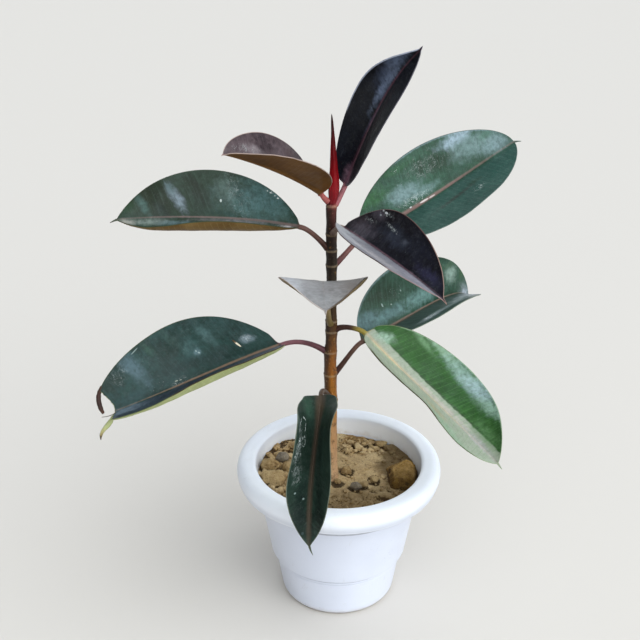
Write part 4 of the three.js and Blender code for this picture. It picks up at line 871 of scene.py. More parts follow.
ICO = {k: icosphere(k) for k in (2, 3, 4, 5, 6)}


def soil_material(name, dark, mid, light, grit, attrs=True, pebble=False, warm=None):
    M = Mat(name)
    p = M.scale(M.place(), (1000, 1000, 1000))
    big = M.noise(p, 0.045, 4, 0.6, 0.3)
    med = M.noise(p, 0.32, 5, 0.65, 0.3)
    fine = M.noise(p, 1.9, 4, 0.7)
    grain = M.voronoi(p, 1.5).outputs["Distance"]
    colour = M.mix(M.step(med, 0.32, 0.68), dark, mid)
    colour = M.mix(M.step(M.add(M.mul(big, 0.6), M.mul(fine, 0.4)), 0.44, 0.66), colour, light)
    if warm:
        colour = M.mix(M.mul(M.step(M.noise(p, 0.09, 3, 0.55), 0.45, 0.7), 0.6), colour, warm)
    colour = M.shade(colour, M.add(M.mul(fine, 0.75), 0.62))
    bits = M.step(M.noise(p, 0.85, 2, 0.4), 0.67, 0.72)
    colour = M.mix(M.mul(bits, 0.55), colour, grit)
    dark_bits = M.step(M.noise(M.scale(p, (1, 1, 1), (31, 7, 3)), 0.7, 2, 0.4), 0.69, 0.74)
    colour = M.mix(M.mul(dark_bits, 0.65), colour, "#3a2817")
    if attrs:
        painted_shading = M.attr("painted_shading")
        sandy = M.step(M.add(M.attr("crumbly"), M.mul(M.math("SUBTRACT", big, 0.5), 1.2)), 0.5, 0.05)
        sep = M.node("ShaderNodeSeparateXYZ")
        M.put(sep.inputs[0], p)
        # painted shadow of the front of the rim over the soil nearest the front
        front_shadow = M.step(M.add(M.add(sep.outputs[1], M.mul(sep.outputs[0], -0.25)), M.mul(big, 20.0)), 4.0, -30.0)
        colour = M.mix(M.mul(sandy, 0.42), colour, light)
        # painted shading: darker in dips, round clods and low on crumbs, lighter on rises and on their tops
        colour = M.mix(M.step(M.add(painted_shading, M.mul(M.math("SUBTRACT", med, 0.5), 0.5)), 0.1, 0.75, 0, 0.88), colour, "#2f1f10")
        colour = M.mix(M.step(painted_shading, -0.1, -0.8, 0, 0.45), colour, light)
        colour = M.mix(M.mul(front_shadow, 0.9), colour, M.mix(0.3, M.shade(colour, 0.52), "#5c431d"))
        if name == "dry_soil":  # painted shade: darker towards the wall on the right, round the big clod
            east, north = M.mul(M.add(sep.outputs[0], -64.0), 1 / 27.0), M.mul(M.add(sep.outputs[1], -24.0), 1 / 50.0)
            off = M.add(M.math("SQRT", M.add(M.mul(east, east), M.mul(north, north))), M.mul(M.math("SUBTRACT", big, 0.5), 0.9))
            colour = M.mix(M.mul(M.step(off, 1.1, 0.6), 0.9), colour, M.mix(0.6, M.shade(colour, 0.45), "#4c350f"))
    height = M.add(M.mul(fine, 0.55), M.mul(grain, -0.4))
    height = M.add(height, M.mul(med, 0.7))
    height = M.add(height, M.mul(bits, 0.25))
    rough = M.add(0.82 if not pebble else 0.66, M.mul(fine, 0.15))
    return M.done(colour, rough, height, Specular_IOR_Level=0.25)


soil_mat = soil_material("dry_soil", "#82613a", "#ae8d58", "#dcc499", "#e6d5b2")
verts, faces, attrs, soil_top = soil_object()

# Loose crumbs lie on the soil and are part of its mesh.
rng = np.random.default_rng(11)
av, af, ah, ac = [verts], list(faces), [attrs["painted_shading"]], [attrs["crumbly"]]
base_n = len(verts)


def chunk(d, seed, planes=15, soft=0.045):
    """Radius of an angular lump in each direction: the nearest of a few random planes, edges rounded."""
    r = np.random.default_rng(int(seed * 100) % 100000)
    k = np.arange(planes) + 0.5
    polar, turn = np.arccos(1 - 2 * k / planes), k * 2.39996 + r.uniform(0, 6.28)
    nrm = np.stack([np.sin(polar) * np.cos(turn), np.sin(polar) * np.sin(turn), np.cos(polar)], 1)
    nrm = unit(nrm + r.normal(0, 0.22, nrm.shape))
    h = r.uniform(0.74, 1.0, planes)
    dot = d @ nrm.T
    far = np.where(dot > 0.12, h / np.maximum(dot, 0.12), 9.0)
    out = -soft * np.log(np.exp(-far / soft).sum(1))
    return out


def wedge(d, soft=0.03):
    """Radius of a broken block: a sloping top, a shoulder to each side and steep sides."""
    faces_ = [(-0.26, -0.30, 0.92, 0.70), (-0.96, -0.12, 0.28, 0.86), (-0.12, -0.95, 0.30, 0.93), (0.95, -0.15, 0.18, 0.84), (0.12, 0.95, 0.28, 0.86), (-0.55, 0.50, 0.67, 0.80),
              (0.62, -0.12, 0.78, 0.80), (0.10, -0.66, 0.75, 0.90), (0.0, 0.0, -1.0, 0.7), (-0.62, -0.72, 0.30, 1.08), (0.75, 0.65, 0.25, 1.05)]
    n = unit(np.array([v[:3] for v in faces_]))
    h = np.array([v[3] for v in faces_])
    dot = d @ n.T
    far = np.where(dot > 0.12, h / np.maximum(dot, 0.12), 9.0)
    return -soft * np.log(np.exp(-far / soft).sum(1))


def crumb(centre, r, seed, level=2, flat=0.75):
    d, f = ICO[level]
    k = chunk(d, seed, 11, 0.06) + 0.07 * np.array([noise.noise((x * 3.1 - seed, y * 3.1, z * 3.1 + seed)) for x, y, z in d])
    st = np.array([1 + 0.3 * math.sin(seed * 1.7), 1 + 0.3 * math.cos(seed * 2.3), flat])
    a = seed * 2.39996
    v = d * k[:, None] * r * st
    c, s_ = math.cos(a), math.sin(a)
    v = v @ np.array([[c, s_, 0], [-s_, c, 0], [0, 0, 1]])
    return v + centre, f


def ground(x, y):
    """Soil height at a point, from the fine mesh."""
    a = (math.atan2(y, x) + math.pi / 2) % (2 * math.pi)
    j = int(round(a / (2 * math.pi) * soil_top.shape[1])) % soil_top.shape[1]
    r = np.hypot(soil_top[:, j, 0], soil_top[:, j, 1])
    return float(np.interp(math.hypot(x, y), r, soil_top[:, j, 2]))


n_crumbs = 0
for k in range(1300):
    a, q = rng.uniform(0, 2 * math.pi), math.sqrt(rng.uniform(0.01, 1))
    x, y = 78 * q * math.cos(a), 78 * q * math.sin(a)
    left = 1 / (1 + math.exp((x + 34) / 7))
    ring = 1 / (1 + math.exp(-(q - 0.86) / 0.04))
    back = math.exp(-((x - 28) / 22) ** 2 - ((y - 55) / 9) ** 2)
    chance = 0.16 + 0.75 * left + 0.35 * ring + 0.7 * back
    if rng.uniform() > chance or math.hypot(x + 8, y + 1) < 9.5:
        continue
    r = 0.55 + 2.6 * rng.uniform() ** (3.2 - 1.7 * left - 0.6 * back)
    if math.hypot(x, y) > 77 - r:
        continue
    if any(math.hypot((x - c[0]) / s[0], (y - c[1]) / s[1]) < q_ * 0.8 for _, c, q_, s, _ in CLODS):
        continue
    v, f = crumb(np.array([x, y, ground(x, y) + r * 0.18]), r, 3.7 + k * 1.31, 2 if r < 1.8 else 3)
    base = sum(len(b) for b in av)
    av.append(v)
    af += [tuple(i + base for i in t) for t in f]
    # painted shading for each crumb: darker low down, lighter on top
    zc = (v[:, 2] - v[:, 2].mean()) / max(r, 0.3)
    ah.append(np.clip(-0.9 * zc - 0.15, -0.7, 1))
    ac.append(np.full(len(v), 0.6))
    n_crumbs += 1
# larger lumps between the clods on the left, at the back and by the stem: place, radius
LUMPS = [(-58, -30, 5.6), (-50, -15, 4.6), (-46, -33, 5.2), (-40, -19, 4.2), (-54, -3, 4.4), (-43, -3, 3.8), (-62, 34, 4.6), (-50, 33, 5.0), (-46, 20, 4.0), (-38, 12, 3.6), (-68, 24, 4.2), (-36, -46, 4.4), (-52, -48, 4.6),
         (-34, -30, 3.4), (-28, -56, 3.8), (-36, 40, 4.0), (-24, 52, 3.4), (-30, 24, 3.0), (-74, -3, 3.8), (-46, 48, 4.2), (14, 61, 3.0), (22, 51, 3.4), (30, 65, 2.8), (40, 53, 3.2), (12, 52, 2.6), (33, 47, 2.4), (52, 49, 3.4), (26, 43, 2.2),
         (2, 16, 2.4), (14, -2, 2.6), (6, -27, 2.2), (22, -27, 2.0), (31, -21, 2.6), (54, 10, 2.6), (50, -22, 2.4), (-16, 10, 2.4), (-18, -14, 2.6), (-22, 0, 2.2), (60, 30, 3.0), (66, 22, 3.4), (70, 12, 2.6)]
for k, (x, y, r) in enumerate(LUMPS):
    v, f = crumb(np.array([x, y, ground(x, y) + r * 0.3]), r, 91.3 + k * 2.17, 4, 0.78)
    p = (v - v.mean(0)) / r
    v = v + unit(v - v.mean(0)) * (0.10 * r * fractal(p + k, 1.9, 4, 3.0, 0.6))[:, None]
    most = inner_radius(v[:, 2]) - 0.5
    v[:, :2] *= np.minimum(1, most / np.maximum(np.hypot(v[:, 0], v[:, 1]), 1e-6))[:, None]
    base = sum(len(b) for b in av)
    av.append(v)
    af += [tuple(i + base for i in t) for t in f]
    # painted shading for each lump: darker low down, lighter on top
    ah.append(np.clip(-0.75 * (v[:, 2] - v[:, 2].mean()) / r - 0.25, -0.8, 1))
    ac.append(np.full(len(v), 0.6))
soil = make("potting_soil", np.concatenate(av), af, soil_mat, {"painted_shading": np.concatenate(ah), "crumbly": np.concatenate(ac)})
finish_piece(soil, ["soil"])


def cad_lump(d, seed):
    s = np.zeros(len(d))
    for k in range(1, 5):
        a, b = math.sin(seed * 12.9898 + k * 78.233) * 43758.5453, math.sin(seed * 39.425 + k * 11.135) * 24634.6345
        axis = np.array([math.sin(a), math.cos(a * 1.3), math.sin(b)])
        axis /= np.linalg.norm(axis)
        s += np.sin(2.1 * k * (d @ axis) + b) / k
    return s / 1.6


CLOD_LOOKS = {
    "clod": soil_material("dry_clods", "#7f633f", "#a08559", "#c0a87c", "#d3c19e"),
    "clod_ochre": soil_material("ochre_clod", "#5e4018", "#94702f", "#bd9a60", "#cbb07c"),
    "stone": soil_material("small_stones", "#6b6257", "#8c8272", "#aca08c", "#c2b7a2", pebble=True),
}
GROW = {"clod_left_big": 1.12, "clod_left_upper": 1.12, "clod_left_inner": 1.2, "clod_right_big": 1.12, "stone_left_grey": 1.08, "clod_front_middle": 1.15, "clod_front_right": 1.15, "clod_by_stem_right": 1.15, "stone_front_grey": 1.05}
for name, centre, r, stretch, seed in CLODS:
    d, f = ICO[6 if r > 8 else 5 if r > 4 else 4]
    if name.startswith("stone"):
        k = 1 + 0.16 * cad_lump(d, seed)
        k = 0.15 * k + 0.9 * chunk(d, seed, 11, 0.035) + 0.06 * fractal(d, 2.4, 5, seed, 0.6)
        painted_shading = np.zeros(len(d))
    else:
        form = 0.25 * (1 + 0.16 * cad_lump(d, seed)) + 0.80 * chunk(d, seed, 15 if name == "clod_right_big" else 13, 0.06)
        if name == "clod_right_big":  # a wedge with a long ridge, higher towards the wall
            form = 0.04 + 1.02 * wedge(d)
        rough = 0.05 * fractal(d, 2.6, 5, seed, 0.6)
        pits = np.array([noise.voronoi((a * 3.2 + seed, b * 3.2, c * 3.2))[0][0] for a, b, c in d])
        fine = np.array([noise.voronoi((a * 8.5 - seed, b * 8.5, c * 8.5))[0][0] for a, b, c in d])
        rough = rough + 0.022 * (0.35 - np.minimum(pits, 0.7)) + 0.014 * (0.35 - np.minimum(fine, 0.7))
        crack = np.abs(fractal(d, 1.25, 3, seed + 2.0, 0.55))
        rough = rough - 0.035 * smooth(0.05, 0.0, crack)
        k = form + rough
        # painted shading for each clod: darker in its pits and on its underside, lighter on top
        painted_shading = np.clip(-rough / 0.06 - 0.8 * d[:, 2] + 0.1, -1, 1) * 0.8
    v = d * np.array(stretch) * r * GROW.get(name, 1.0) * k[:, None] + np.array(centre)
    most = inner_radius(v[:, 2]) - 0.7
    now = np.hypot(v[:, 0], v[:, 1])
    q = np.minimum(1, most / np.maximum(now, 1e-6))
    v[:, 0] *= q
    v[:, 1] *= q
    look = "stone" if name.startswith("stone") else "clod_ochre" if name == "clod_right_big" else "clod"
    piece = make("lump_" + name, v, f, CLOD_LOOKS[look], {"painted_shading": painted_shading, "crumbly": np.ones(len(d))})
    finish_piece(piece, [name])

# ------------------------------------------------------------------ stem and bud sheath


def stem_object():
    table = np.array(STEM, float)
    z = np.concatenate([np.linspace(63, 122, 24)[:-1], np.arange(122, 427.6, 0.62), [427.5]])
    x, y, r = (np.interp(z, table[:, 0], table[:, i]) for i in (1, 2, 3))
    fine = np.arange(60, 430, 0.25)
    kernel = np.exp(-0.5 * (np.arange(-24, 25) * 0.25 / 1.9) ** 2)
    kernel /= kernel.sum()
    sm = np.convolve(np.interp(fine, table[:, 0], table[:, 3]), kernel, "same")
    r = np.where((z > 75) & (z < 425), np.interp(z, fine, sm), r)
    n = 72
    a = np.linspace(0, 2 * np.pi, n, endpoint=False)
    ring = np.zeros_like(z)
    for zn in NODES_Z:
        ring += 0.30 * np.exp(-((z - zn - 1.0) / 0.9) ** 2) - 0.2 * np.exp(-((z - zn - 3.0) / 0.9) ** 2)
    for zn in (178, 197, 236, 262, 287, 325, 342):
        ring += 0.10 * np.exp(-((z - zn) / 0.7) ** 2)
    woody = smooth(330, 180, z)
    pts = np.array([(math.cos(t) * 1.2, math.sin(t) * 1.2, zz * 0.035) for zz in z for t in a])
    groove = fractal(pts * np.array([3.2, 3.2, 1.0]), 1.0, 3, 4.0, 0.6).reshape(len(z), n)
    lump = fractal(pts * np.array([1, 1, 2.2]), 1.0, 3, 9.0, 0.5).reshape(len(z), n)
    tilt = 0.5 * np.sin(a)[None] * np.exp(-((z % 37 - 18) / 9) ** 2)[:, None]
    rr = r[:, None] + ring[:, None] + 0.20 * woody[:, None] * groove + 0.28 * lump + 0.0 * tilt
    rings = np.stack([x[:, None] + rr * np.cos(a), y[:, None] + rr * np.sin(a), np.repeat(z[:, None], n, 1)], -1)
    verts, faces = loft(rings)
    return verts, faces


def stem_material():
    M = Mat("stem_bark")
    p = M.scale(M.place(), (1000, 1000, 1000))
    sep = M.node("ShaderNodeSeparateXYZ")
    M.put(sep.inputs[0], p)
    z = sep.outputs[2]
    zz = M.add(z, M.mul(M.math("SUBTRACT", M.noise(p, 0.09, 3, 0.55), 0.5), 26.0))
    g = M.step(zz, 130, 430)
    height_pos = M.math("DIVIDE", M.math("SUBTRACT", zz, 130.0), 300.0)
    colour = M.ramp(height_pos, [(0.0, "#c8a27c"), (0.18, "#b5895e"), (0.31, "#a4691f"), (0.45, "#8a5012"), (0.53, "#553410"), (0.62, "#352208"), (0.72, "#2b1f0b"), (0.82, "#1b1005"), (0.92, "#220e07"), (0.975, "#552822"), (1.0, "#8f4a44")])
    runs = M.noise(M.scale(p, (1, 1, 0.1)), 0.75, 5, 0.65, 0.3)
    blot = M.noise(p, 0.16, 4, 0.6, 0.4)
    colour = M.shade(colour, M.add(M.mul(runs, 1.3), 0.35))
    colour = M.mix(M.mul(M.step(blot, 0.5, 0.66), 0.6), colour, "#2a1c10")
    colour = M.mix(M.mul(M.step(M.noise(M.scale(p, (1, 1, 1), (5, 9, 2)), 0.2, 3, 0.5), 0.6, 0.72), 0.4), colour, "#a8793a")
    # painted shade: the stem's left side is darker, as on the side away from the light
    shaded_side = M.step(M.add(sep.outputs[0], M.mul(M.math("SUBTRACT", M.noise(M.scale(p, (1, 1, 0.3)), 0.3, 3, 0.6), 0.5), 5.0)), -6.8, -12.8)
    colour = M.mix(M.mul(shaded_side, M.step(zz, 165, 225, 0.15, 0.8)), colour, "#1c120a")
    # leaf and sheath scars run round the stem as pale lines
    scars = None
    for zn in NODES_Z:
        d = M.math("ABSOLUTE", M.math("SUBTRACT", z, zn + 1.0))
        s = M.step(d, 0.5, 1.5, 1, 0)
        scars = s if scars is None else M.math("MAXIMUM", scars, s)
    colour = M.mix(M.mul(scars, M.add(M.mul(runs, 0.5), 0.08)), colour, "#a08a6c")
    lent = M.step(M.noise(M.scale(p, (1, 1, 0.55)), 0.95, 1, 0.4), 0.7, 0.75)
    colour = M.mix(M.mul(lent, M.step(z, 330, 230, 0.14, 0.5)), colour, "#c9ab82")
    fine = M.noise(p, 2.6, 3, 0.6)
    height = M.add(M.mul(runs, 0.35), M.mul(fine, 0.08))
    height = M.add(height, M.mul(lent, 0.2))
    rough = M.add(0.42, M.mul(runs, 0.25))
    return M.done(colour, rough, height, Specular_IOR_Level=0.28)


verts, faces = stem_object()
finish_piece(make("woody_stem", verts, faces, stem_material()), ["stem"])


def sheath_object():
    t = np.array(SHEATH, float)
    z = np.linspace(427.9, 511.5, 150)
    x, r = np.interp(z, t[:, 0], t[:, 1]), np.interp(z, t[:, 0], t[:, 2])
    k = np.exp(-0.5 * (np.arange(-9, 10) / 3.2) ** 2)
    k /= k.sum()
    pad = lambda v: np.convolve(np.concatenate([np.full(9, v[0]), v, np.full(9, v[-1])]), k, "valid")
    x, r = pad(x), pad(r)
    r[-4:] = [0.42, 0.34, 0.26, 0.12]
    n = 48
    a = np.linspace(0, 2 * np.pi, n, endpoint=False)
    twist = (z - 428)[:, None] * 0.006
    rr = r[:, None] * (1 + 0.075 * np.cos(5 * (a[None] + twist)) + 0.05 * np.cos(2 * a[None] + 0.6) + 0.03 * np.cos(11 * (a[None] + twist * 1.4)))
    # the overlapping edge of the rolled sheath
    lap = smooth(0.0, 0.35, np.mod(a[None] + twist * 1.2 + 1.1, 2 * np.pi)) * smooth(1.6, 0.9, np.mod(a[None] + twist * 1.2 + 1.1, 2 * np.pi))
    rr = rr * (1 + 0.09 * lap * smooth(430, 445, z)[:, None])
    rings = np.stack([x[:, None] + rr * np.cos(a), rr * np.sin(a), np.repeat(z[:, None], n, 1)], -1)
    return loft(rings)


def sheath_material():
    M = Mat("bud_sheath")
    p = M.scale(M.place(), (1000, 1000, 1000))
    sep = M.node("ShaderNodeSeparateXYZ")
    M.put(sep.inputs[0], p)
    z = sep.outputs[2]
    pos = M.math("DIVIDE", M.math("SUBTRACT", M.add(z, M.mul(M.noise(p, 0.25, 3), 8.0)), 428.0), 90.0)
    colour = M.ramp(pos, [(0.0, "#6a342e"), (0.07, "#74101a"), (0.3, "#8c0811"), (0.55, "#6e080f"), (0.8, "#3c0d0d"), (1.0, "#1f0c09")])
    runs = M.noise(M.scale(p, (1, 1, 0.08)), 1.1, 4, 0.6, 0.2)
    colour = M.shade(colour, M.add(M.mul(runs, 0.9), 0.55))
    colour = M.mix(M.mul(M.step(runs, 0.6, 0.75), 0.2), colour, "#c43a38")
    # painted shade: the left side of the sheath is darker
    left = M.step(sep.outputs[0], -8.5, -11.0)
    colour = M.mix(M.mul(left, 0.5), colour, "#3a0b0d")
    height = M.add(M.mul(runs, 0.3), M.mul(M.noise(p, 2.4, 3), 0.06))
    return M.done(colour, M.add(0.3, M.mul(runs, 0.2)), height, Specular_IOR_Level=0.25)


verts, faces = sheath_object()
finish_piece(make("growing_tip_sheath", verts, faces, sheath_material()), ["bud_sheath"])

# ------------------------------------------------------------------ pot


def catmull(points, per=6, sharp=()):
    """Rounded run through the profile points, which it keeps."""
    p = np.array(points, float)
    out = []
    for i in range(len(p) - 1):
        a, b, c, d = p[max(i - 1, 0)], p[i], p[i + 1], p[min(i + 2, len(p) - 1)]
        # centripetal tangents keep short steps next to long ones from overshooting
        lab, lbc, lcd = max(np.linalg.norm(b - a), 1e-6), max(np.linalg.norm(c - b), 1e-6), max(np.linalg.norm(d - c), 1e-6)
        t1 = (b - a) / lab * 0.5 + (c - b) / lbc * 0.5
        t2 = (c - b) / lbc * 0.5 + (d - c) / lcd * 0.5
        if i in sharp:
            t1 = (c - b) / lbc
        if i + 1 in sharp:
            t2 = (c - b) / lbc
        k1, k2 = min(lbc, 1.6 * lab), min(lbc, 1.6 * lcd)
        for s in np.linspace(0, 1, per, endpoint=False):
            h = (2 * s**3 - 3 * s**2 + 1, s**3 - 2 * s**2 + s, -2 * s**3 + 3 * s**2, s**3 - s**2)
            out.append(h[0] * b + h[1] * t1 * k1 + h[2] * c + h[3] * t2 * k2)
    out.append(p[-1])
    return np.array(out)


def pot_object():
    profile = [
        [53.8, 3.0], [55.8, 6.5], [62.0, 44.5], [63.6, 47.2], [66.8, 50.2], [81.4, 132.0], [82.6, 143.5], [83.1, 149.0], [83.6, 150.8], [85.5, 152.2], [90, 152.9], [95, 153], [98.6, 151.8],
        [101.2, 149.2], [102.4, 145.5], [102.5, 142], [101.5, 137], [99.8, 132.8], [98.6, 132.0], [97.4, 132.7], [98.0, 136.5], [98.9, 141], [98.6, 146], [95.5, 149.8], [89, 149.8], [86.2, 147.5],
        [84.5, 138], [83.6, 131], [82.5, 121.6], [82.3, 120.4], [81.6, 119.5], [80.9, 118.9], [80.7, 117.8], [69.6, 52.6], [69.3, 51.0], [68.4, 49.9], [66.6, 49.2], [65.7, 48.4], [66.2, 47.4], [66.4, 46.2], [66.0, 45.2], [64.6, 44.4], [63.7, 43.6], [64.1, 42.2], [58.9, 9], [57.8, 3.6], [55.6, 1.0], [53.4, 0.05], [51.6, 0.05], [50.2, 0.9],
    ]
    line = catmull(profile, 6, sharp=(0, 19, len(profile) - 1))
    # flat parts of the floor, above and below
    over = np.array([[r, 3.0] for r in (8, 20, 28, 36, 44, 50)])
    under = np.array([[r, 0.9] for r in (44, 36, 28, 20, 8)])
    line = np.concatenate([over, line, under])
    n = 240
    a = np.linspace(0, 2 * np.pi, n, endpoint=False)
    rings = np.stack([line[:, 0:1] * np.cos(a), line[:, 0:1] * np.sin(a), np.repeat(line[:, 1:2], n, 1)], -1)
    # moulded plastic is never quite true: a slight oval and a faint sag of the rim
    high = smooth(60, 150, rings[..., 2])
    oval = 1 + 0.0022 * high * np.cos(2 * a + 0.7)[None]
    rings[..., 0] *= oval
    rings[..., 1] *= oval
    rings[..., 2] += 0.22 * high * np.sin(3 * a + 0.4)[None]
    return loft(rings)


def pot_material():
    M = Mat("white_plastic")
    p = M.scale(M.place(), (1000, 1000, 1000))
    sep = M.node("ShaderNodeSeparateXYZ")
    M.put(sep.inputs[0], p)
    x, y, z = sep.outputs
    r = M.math("SQRT", M.add(M.mul(x, x), M.mul(y, y)))
    big = M.noise(p, 0.012, 3, 0.5)
    med = M.noise(p, 0.13, 4, 0.6, 0.3)
    fine = M.noise(p, 1.3, 3, 0.6)
    colour = M.mix(M.step(big, 0.3, 0.7), "#e4e9f4", "#edf1f9")
    colour = M.mix(M.mul(M.step(med, 0.5, 0.75), 0.14), colour, "#dcdde0")
    # painted shade: the body under the lip is darker than the rim
    body = M.step(z, 131.5, 129.5)
    colour = M.mix(body, colour, M.mix(M.step(big, 0.3, 0.7), "#d3d8e5", "#dce1ed"))
    # soil dust on the inner wall, thickest just over the soil
    inside = M.step(r, 83.2, 82.4)
    inside = M.mul(inside, M.step(z, 131.0, 133.0))
    # painted light: the inner wall above the soil is lightened to near white
    colour = M.mix(M.mul(inside, 0.85), colour, "#f7f9fd")
    dust = M.mul(inside, M.step(M.add(z, M.mul(med, 14.0)), 145.0, 134.0))
    colour = M.mix(M.mul(dust, M.add(M.mul(fine, 0.7), 0.15)), colour, "#b09674")
    # dust round the foot
    foot = M.step(M.add(z, M.mul(med, 9.0)), 14.0, 3.0)
    colour = M.mix(M.mul(foot, 0.4), colour, "#b7a88f")
    # grime and painted shade in the two grooves of the step, and a painted shadow line at the small collar under the
    # rim
    for zn, wide, k in ((48.6, 1.7, 0.9), (43.9, 1.3, 0.7), (117.4, 1.6, 0.95)):
        g = M.step(M.math("ABSOLUTE", M.math("SUBTRACT", z, zn)), 0.2, wide, 1, 0)
        colour = M.mix(M.mul(g, M.add(M.mul(med, 0.5 * k), 0.5 * k)), colour, "#8f8f98")
    # painted shade on the outer skirt of the rim, above its lower edge
    belly = M.mul(M.mul(M.step(z, 144.0, 136.5), M.step(z, 133.6, 134.8)), M.step(r, 97.0, 99.0))
    colour = M.mix(M.mul(belly, 0.42), colour, "#b4bac8")
    # painted shadow: a thin dark line along the lower edge of the rim
    lip = M.mul(M.step(z, 133.6, 132.4), M.step(r, 95.5, 97.0))
    colour = M.mix(M.mul(lip, 0.6), colour, "#84858f")
    # a few dark specks and faint scuffs
    speck = M.mul(M.step(M.noise(p, 0.55, 1, 0.4), 0.82, 0.84), M.step(M.noise(M.scale(p, (1, 1, 1), (40, 3, 9)), 0.04, 2), 0.45, 0.6))
    colour = M.mix(M.mul(speck, 0.6), colour, "#6a6054")
    scuff = M.mul(M.step(M.math("ABSOLUTE", M.math("SUBTRACT", M.noise(M.scale(p, (1, 1, 0.35)), 0.06, 3, 0.6, 0.8), 0.5)), 0.0, 0.006, 1, 0), M.step(M.noise(p, 0.03, 2), 0.52, 0.62))
    colour = M.mix(M.mul(scuff, 0.16), colour, "#b3b1ae")
    under = M.step(z, 1.5, 0.3)
    colour = M.mix(M.mul(under, 0.5), colour, "#b9ab92")
    height = M.add(M.mul(fine, 0.02), M.mul(med, 0.12))
    height = M.add(height, M.mul(scuff, -0.06))
    rough = M.add(M.add(0.3, M.mul(med, 0.14)), M.add(M.mul(dust, 0.4), M.mul(scuff, 0.2)))
    return M.done(colour, rough, height, Specular_IOR_Level=0.5)


verts, faces = pot_object()
pot = make("nursery_pot", verts, faces, pot_material())


def cut(ob, cutter):
    mod = ob.modifiers.new("cut", "BOOLEAN")
    mod.operation = "DIFFERENCE"
    mod.solver = "EXACT"
    mod.object = cutter
    dg = bpy.context.evaluated_depsgraph_get()
    me = bpy.data.meshes.new_from_object(ob.evaluated_get(dg), preserve_all_data_layers=True, depsgraph=dg)
    old = ob.data
    ob.modifiers.clear()
    ob.data = me
    bpy.data.meshes.remove(old)
    data = cutter.data
    bpy.data.objects.remove(cutter)
    bpy.data.meshes.remove(data)


holes_v, holes_f = [], []
for i in range(4):
    a = math.pi * (i + 0.5) / 2
    n = 40
    t = np.linspace(0, 2 * np.pi, n, endpoint=False)
    rr = [(4.9, -2.0), (4.9, 0.4), (4.3, 1.3), (4.0, 1.7), (4.0, 6.0)]
    rings = np.stack([np.stack([32 * math.cos(a) + q * np.cos(t), 32 * math.sin(a) + q * np.sin(t), np.full(n, zz)], 1) for q, zz in rr])
    v, f = loft(rings)
    base = sum(len(b) for b in holes_v)
    holes_v.append(v)
    holes_f += [tuple(j + base for j in t_) for t_ in f]
cut(pot, make("holes", np.concatenate(holes_v), holes_f, pot.data.materials[0]))
finish_piece(pot, ["pot"])

# ------------------------------------------------------------------ the eaten end of the lower left leaf
BITE = [
    [[-214.2, -107.0, 295.7], [-207.5, -109.9, 290.0], [-203.0, -111.7, 286.4], [-199.8, -113.6, 282.7], [-198.8, -115.5, 278.8], [-199.3, -117.1, 275.8], [-201.1, -118.6, 272.8], [-204.3, -120.7, 268.7], [-225.8, -121.6, 266.7], [-236.3, -113.3, 283.1], [-227.5, -105.8, 298.0]],
    [[-226.8, -48.1, 261.5], [-219.7, -51.1, 255.5], [-214.9, -53.1, 251.7], [-211.5, -55.1, 247.7], [-210.4, -57.1, 243.6], [-211.0, -58.8, 240.3], [-212.8, -60.4, 237.2], [-216.3, -62.6, 232.8], [-239.2, -63.7, 230.7], [-250.4, -54.8, 248.2], [-241.0, -46.8, 264.0]],
]


def bite_prism():
    near, far = np.array(BITE)
    keep = 8  # the first points are the ragged edge, the others lie outside the leaf
    a, b = [], []
    for k in range(len(near)):
        n0, n1, f0, f1 = near[k], near[(k + 1) % len(near)], far[k], far[(k + 1) % len(near)]
        steps = 7 if k < keep - 1 else 1
        for s in range(steps):
            q = s / steps
            out = 0.0
            if k < keep - 1 and (k or s):
                out = 0.55 * noise.noise((k * 1.7 + q * 1.7, 3.1, 0.4)) + 0.35 * noise.noise((k * 5.1 + q * 5.1, 7.7, 0.9))
            across = (n1 - n0) / np.linalg.norm(n1 - n0)
            push = np.cross(across, (f0 - n0) / np.linalg.norm(f0 - n0)) * out
            a.append(n0 * (1 - q) + n1 * q + push)
            b.append(f0 * (1 - q) + f1 * q + push)
    return loft(np.array([a, b]))


def ribbon(path, widths, thick, cup, across, n=9, steps=44):
    """A thin strip of blade along a path, cupped across its width."""
    p = catmull(path, 8)
    d = np.concatenate([[0], np.cumsum(np.linalg.norm(np.diff(p, axis=0), axis=1))])
    s = np.linspace(0, d[-1], steps)
    c = np.stack([np.interp(s, d, p[:, i]) for i in range(3)], 1)
    w = np.interp(np.linspace(0, 1, steps), np.linspace(0, 1, len(widths)), widths)
    t = unit(np.gradient(c, axis=0))
    side = unit(np.array(across)[None] - t * (t @ np.array(across))[:, None])
    up = np.cross(side, t)
    rings = []
    for i in range(steps):
        a = np.linspace(-1, 1, n)
        edge = 1 + 0.12 * noise.noise((s[i] * 0.45, 2.0, 5.0))
        x = a * w[i] / 2 * edge
        z = cup * w[i] * a ** 2
        h = thick / 2 * np.sqrt(np.clip(1.05 - a ** 4, 0.05, 1))
        top = c[i] + side[i] * x[:, None] + up[i] * (z + h)[:, None]
        low = c[i] + side[i] * x[::-1, None] + up[i] * (z - h)[::-1, None]
        rings.append(np.concatenate([top, low[1:-1]]))
    return loft(np.array(rings)), s


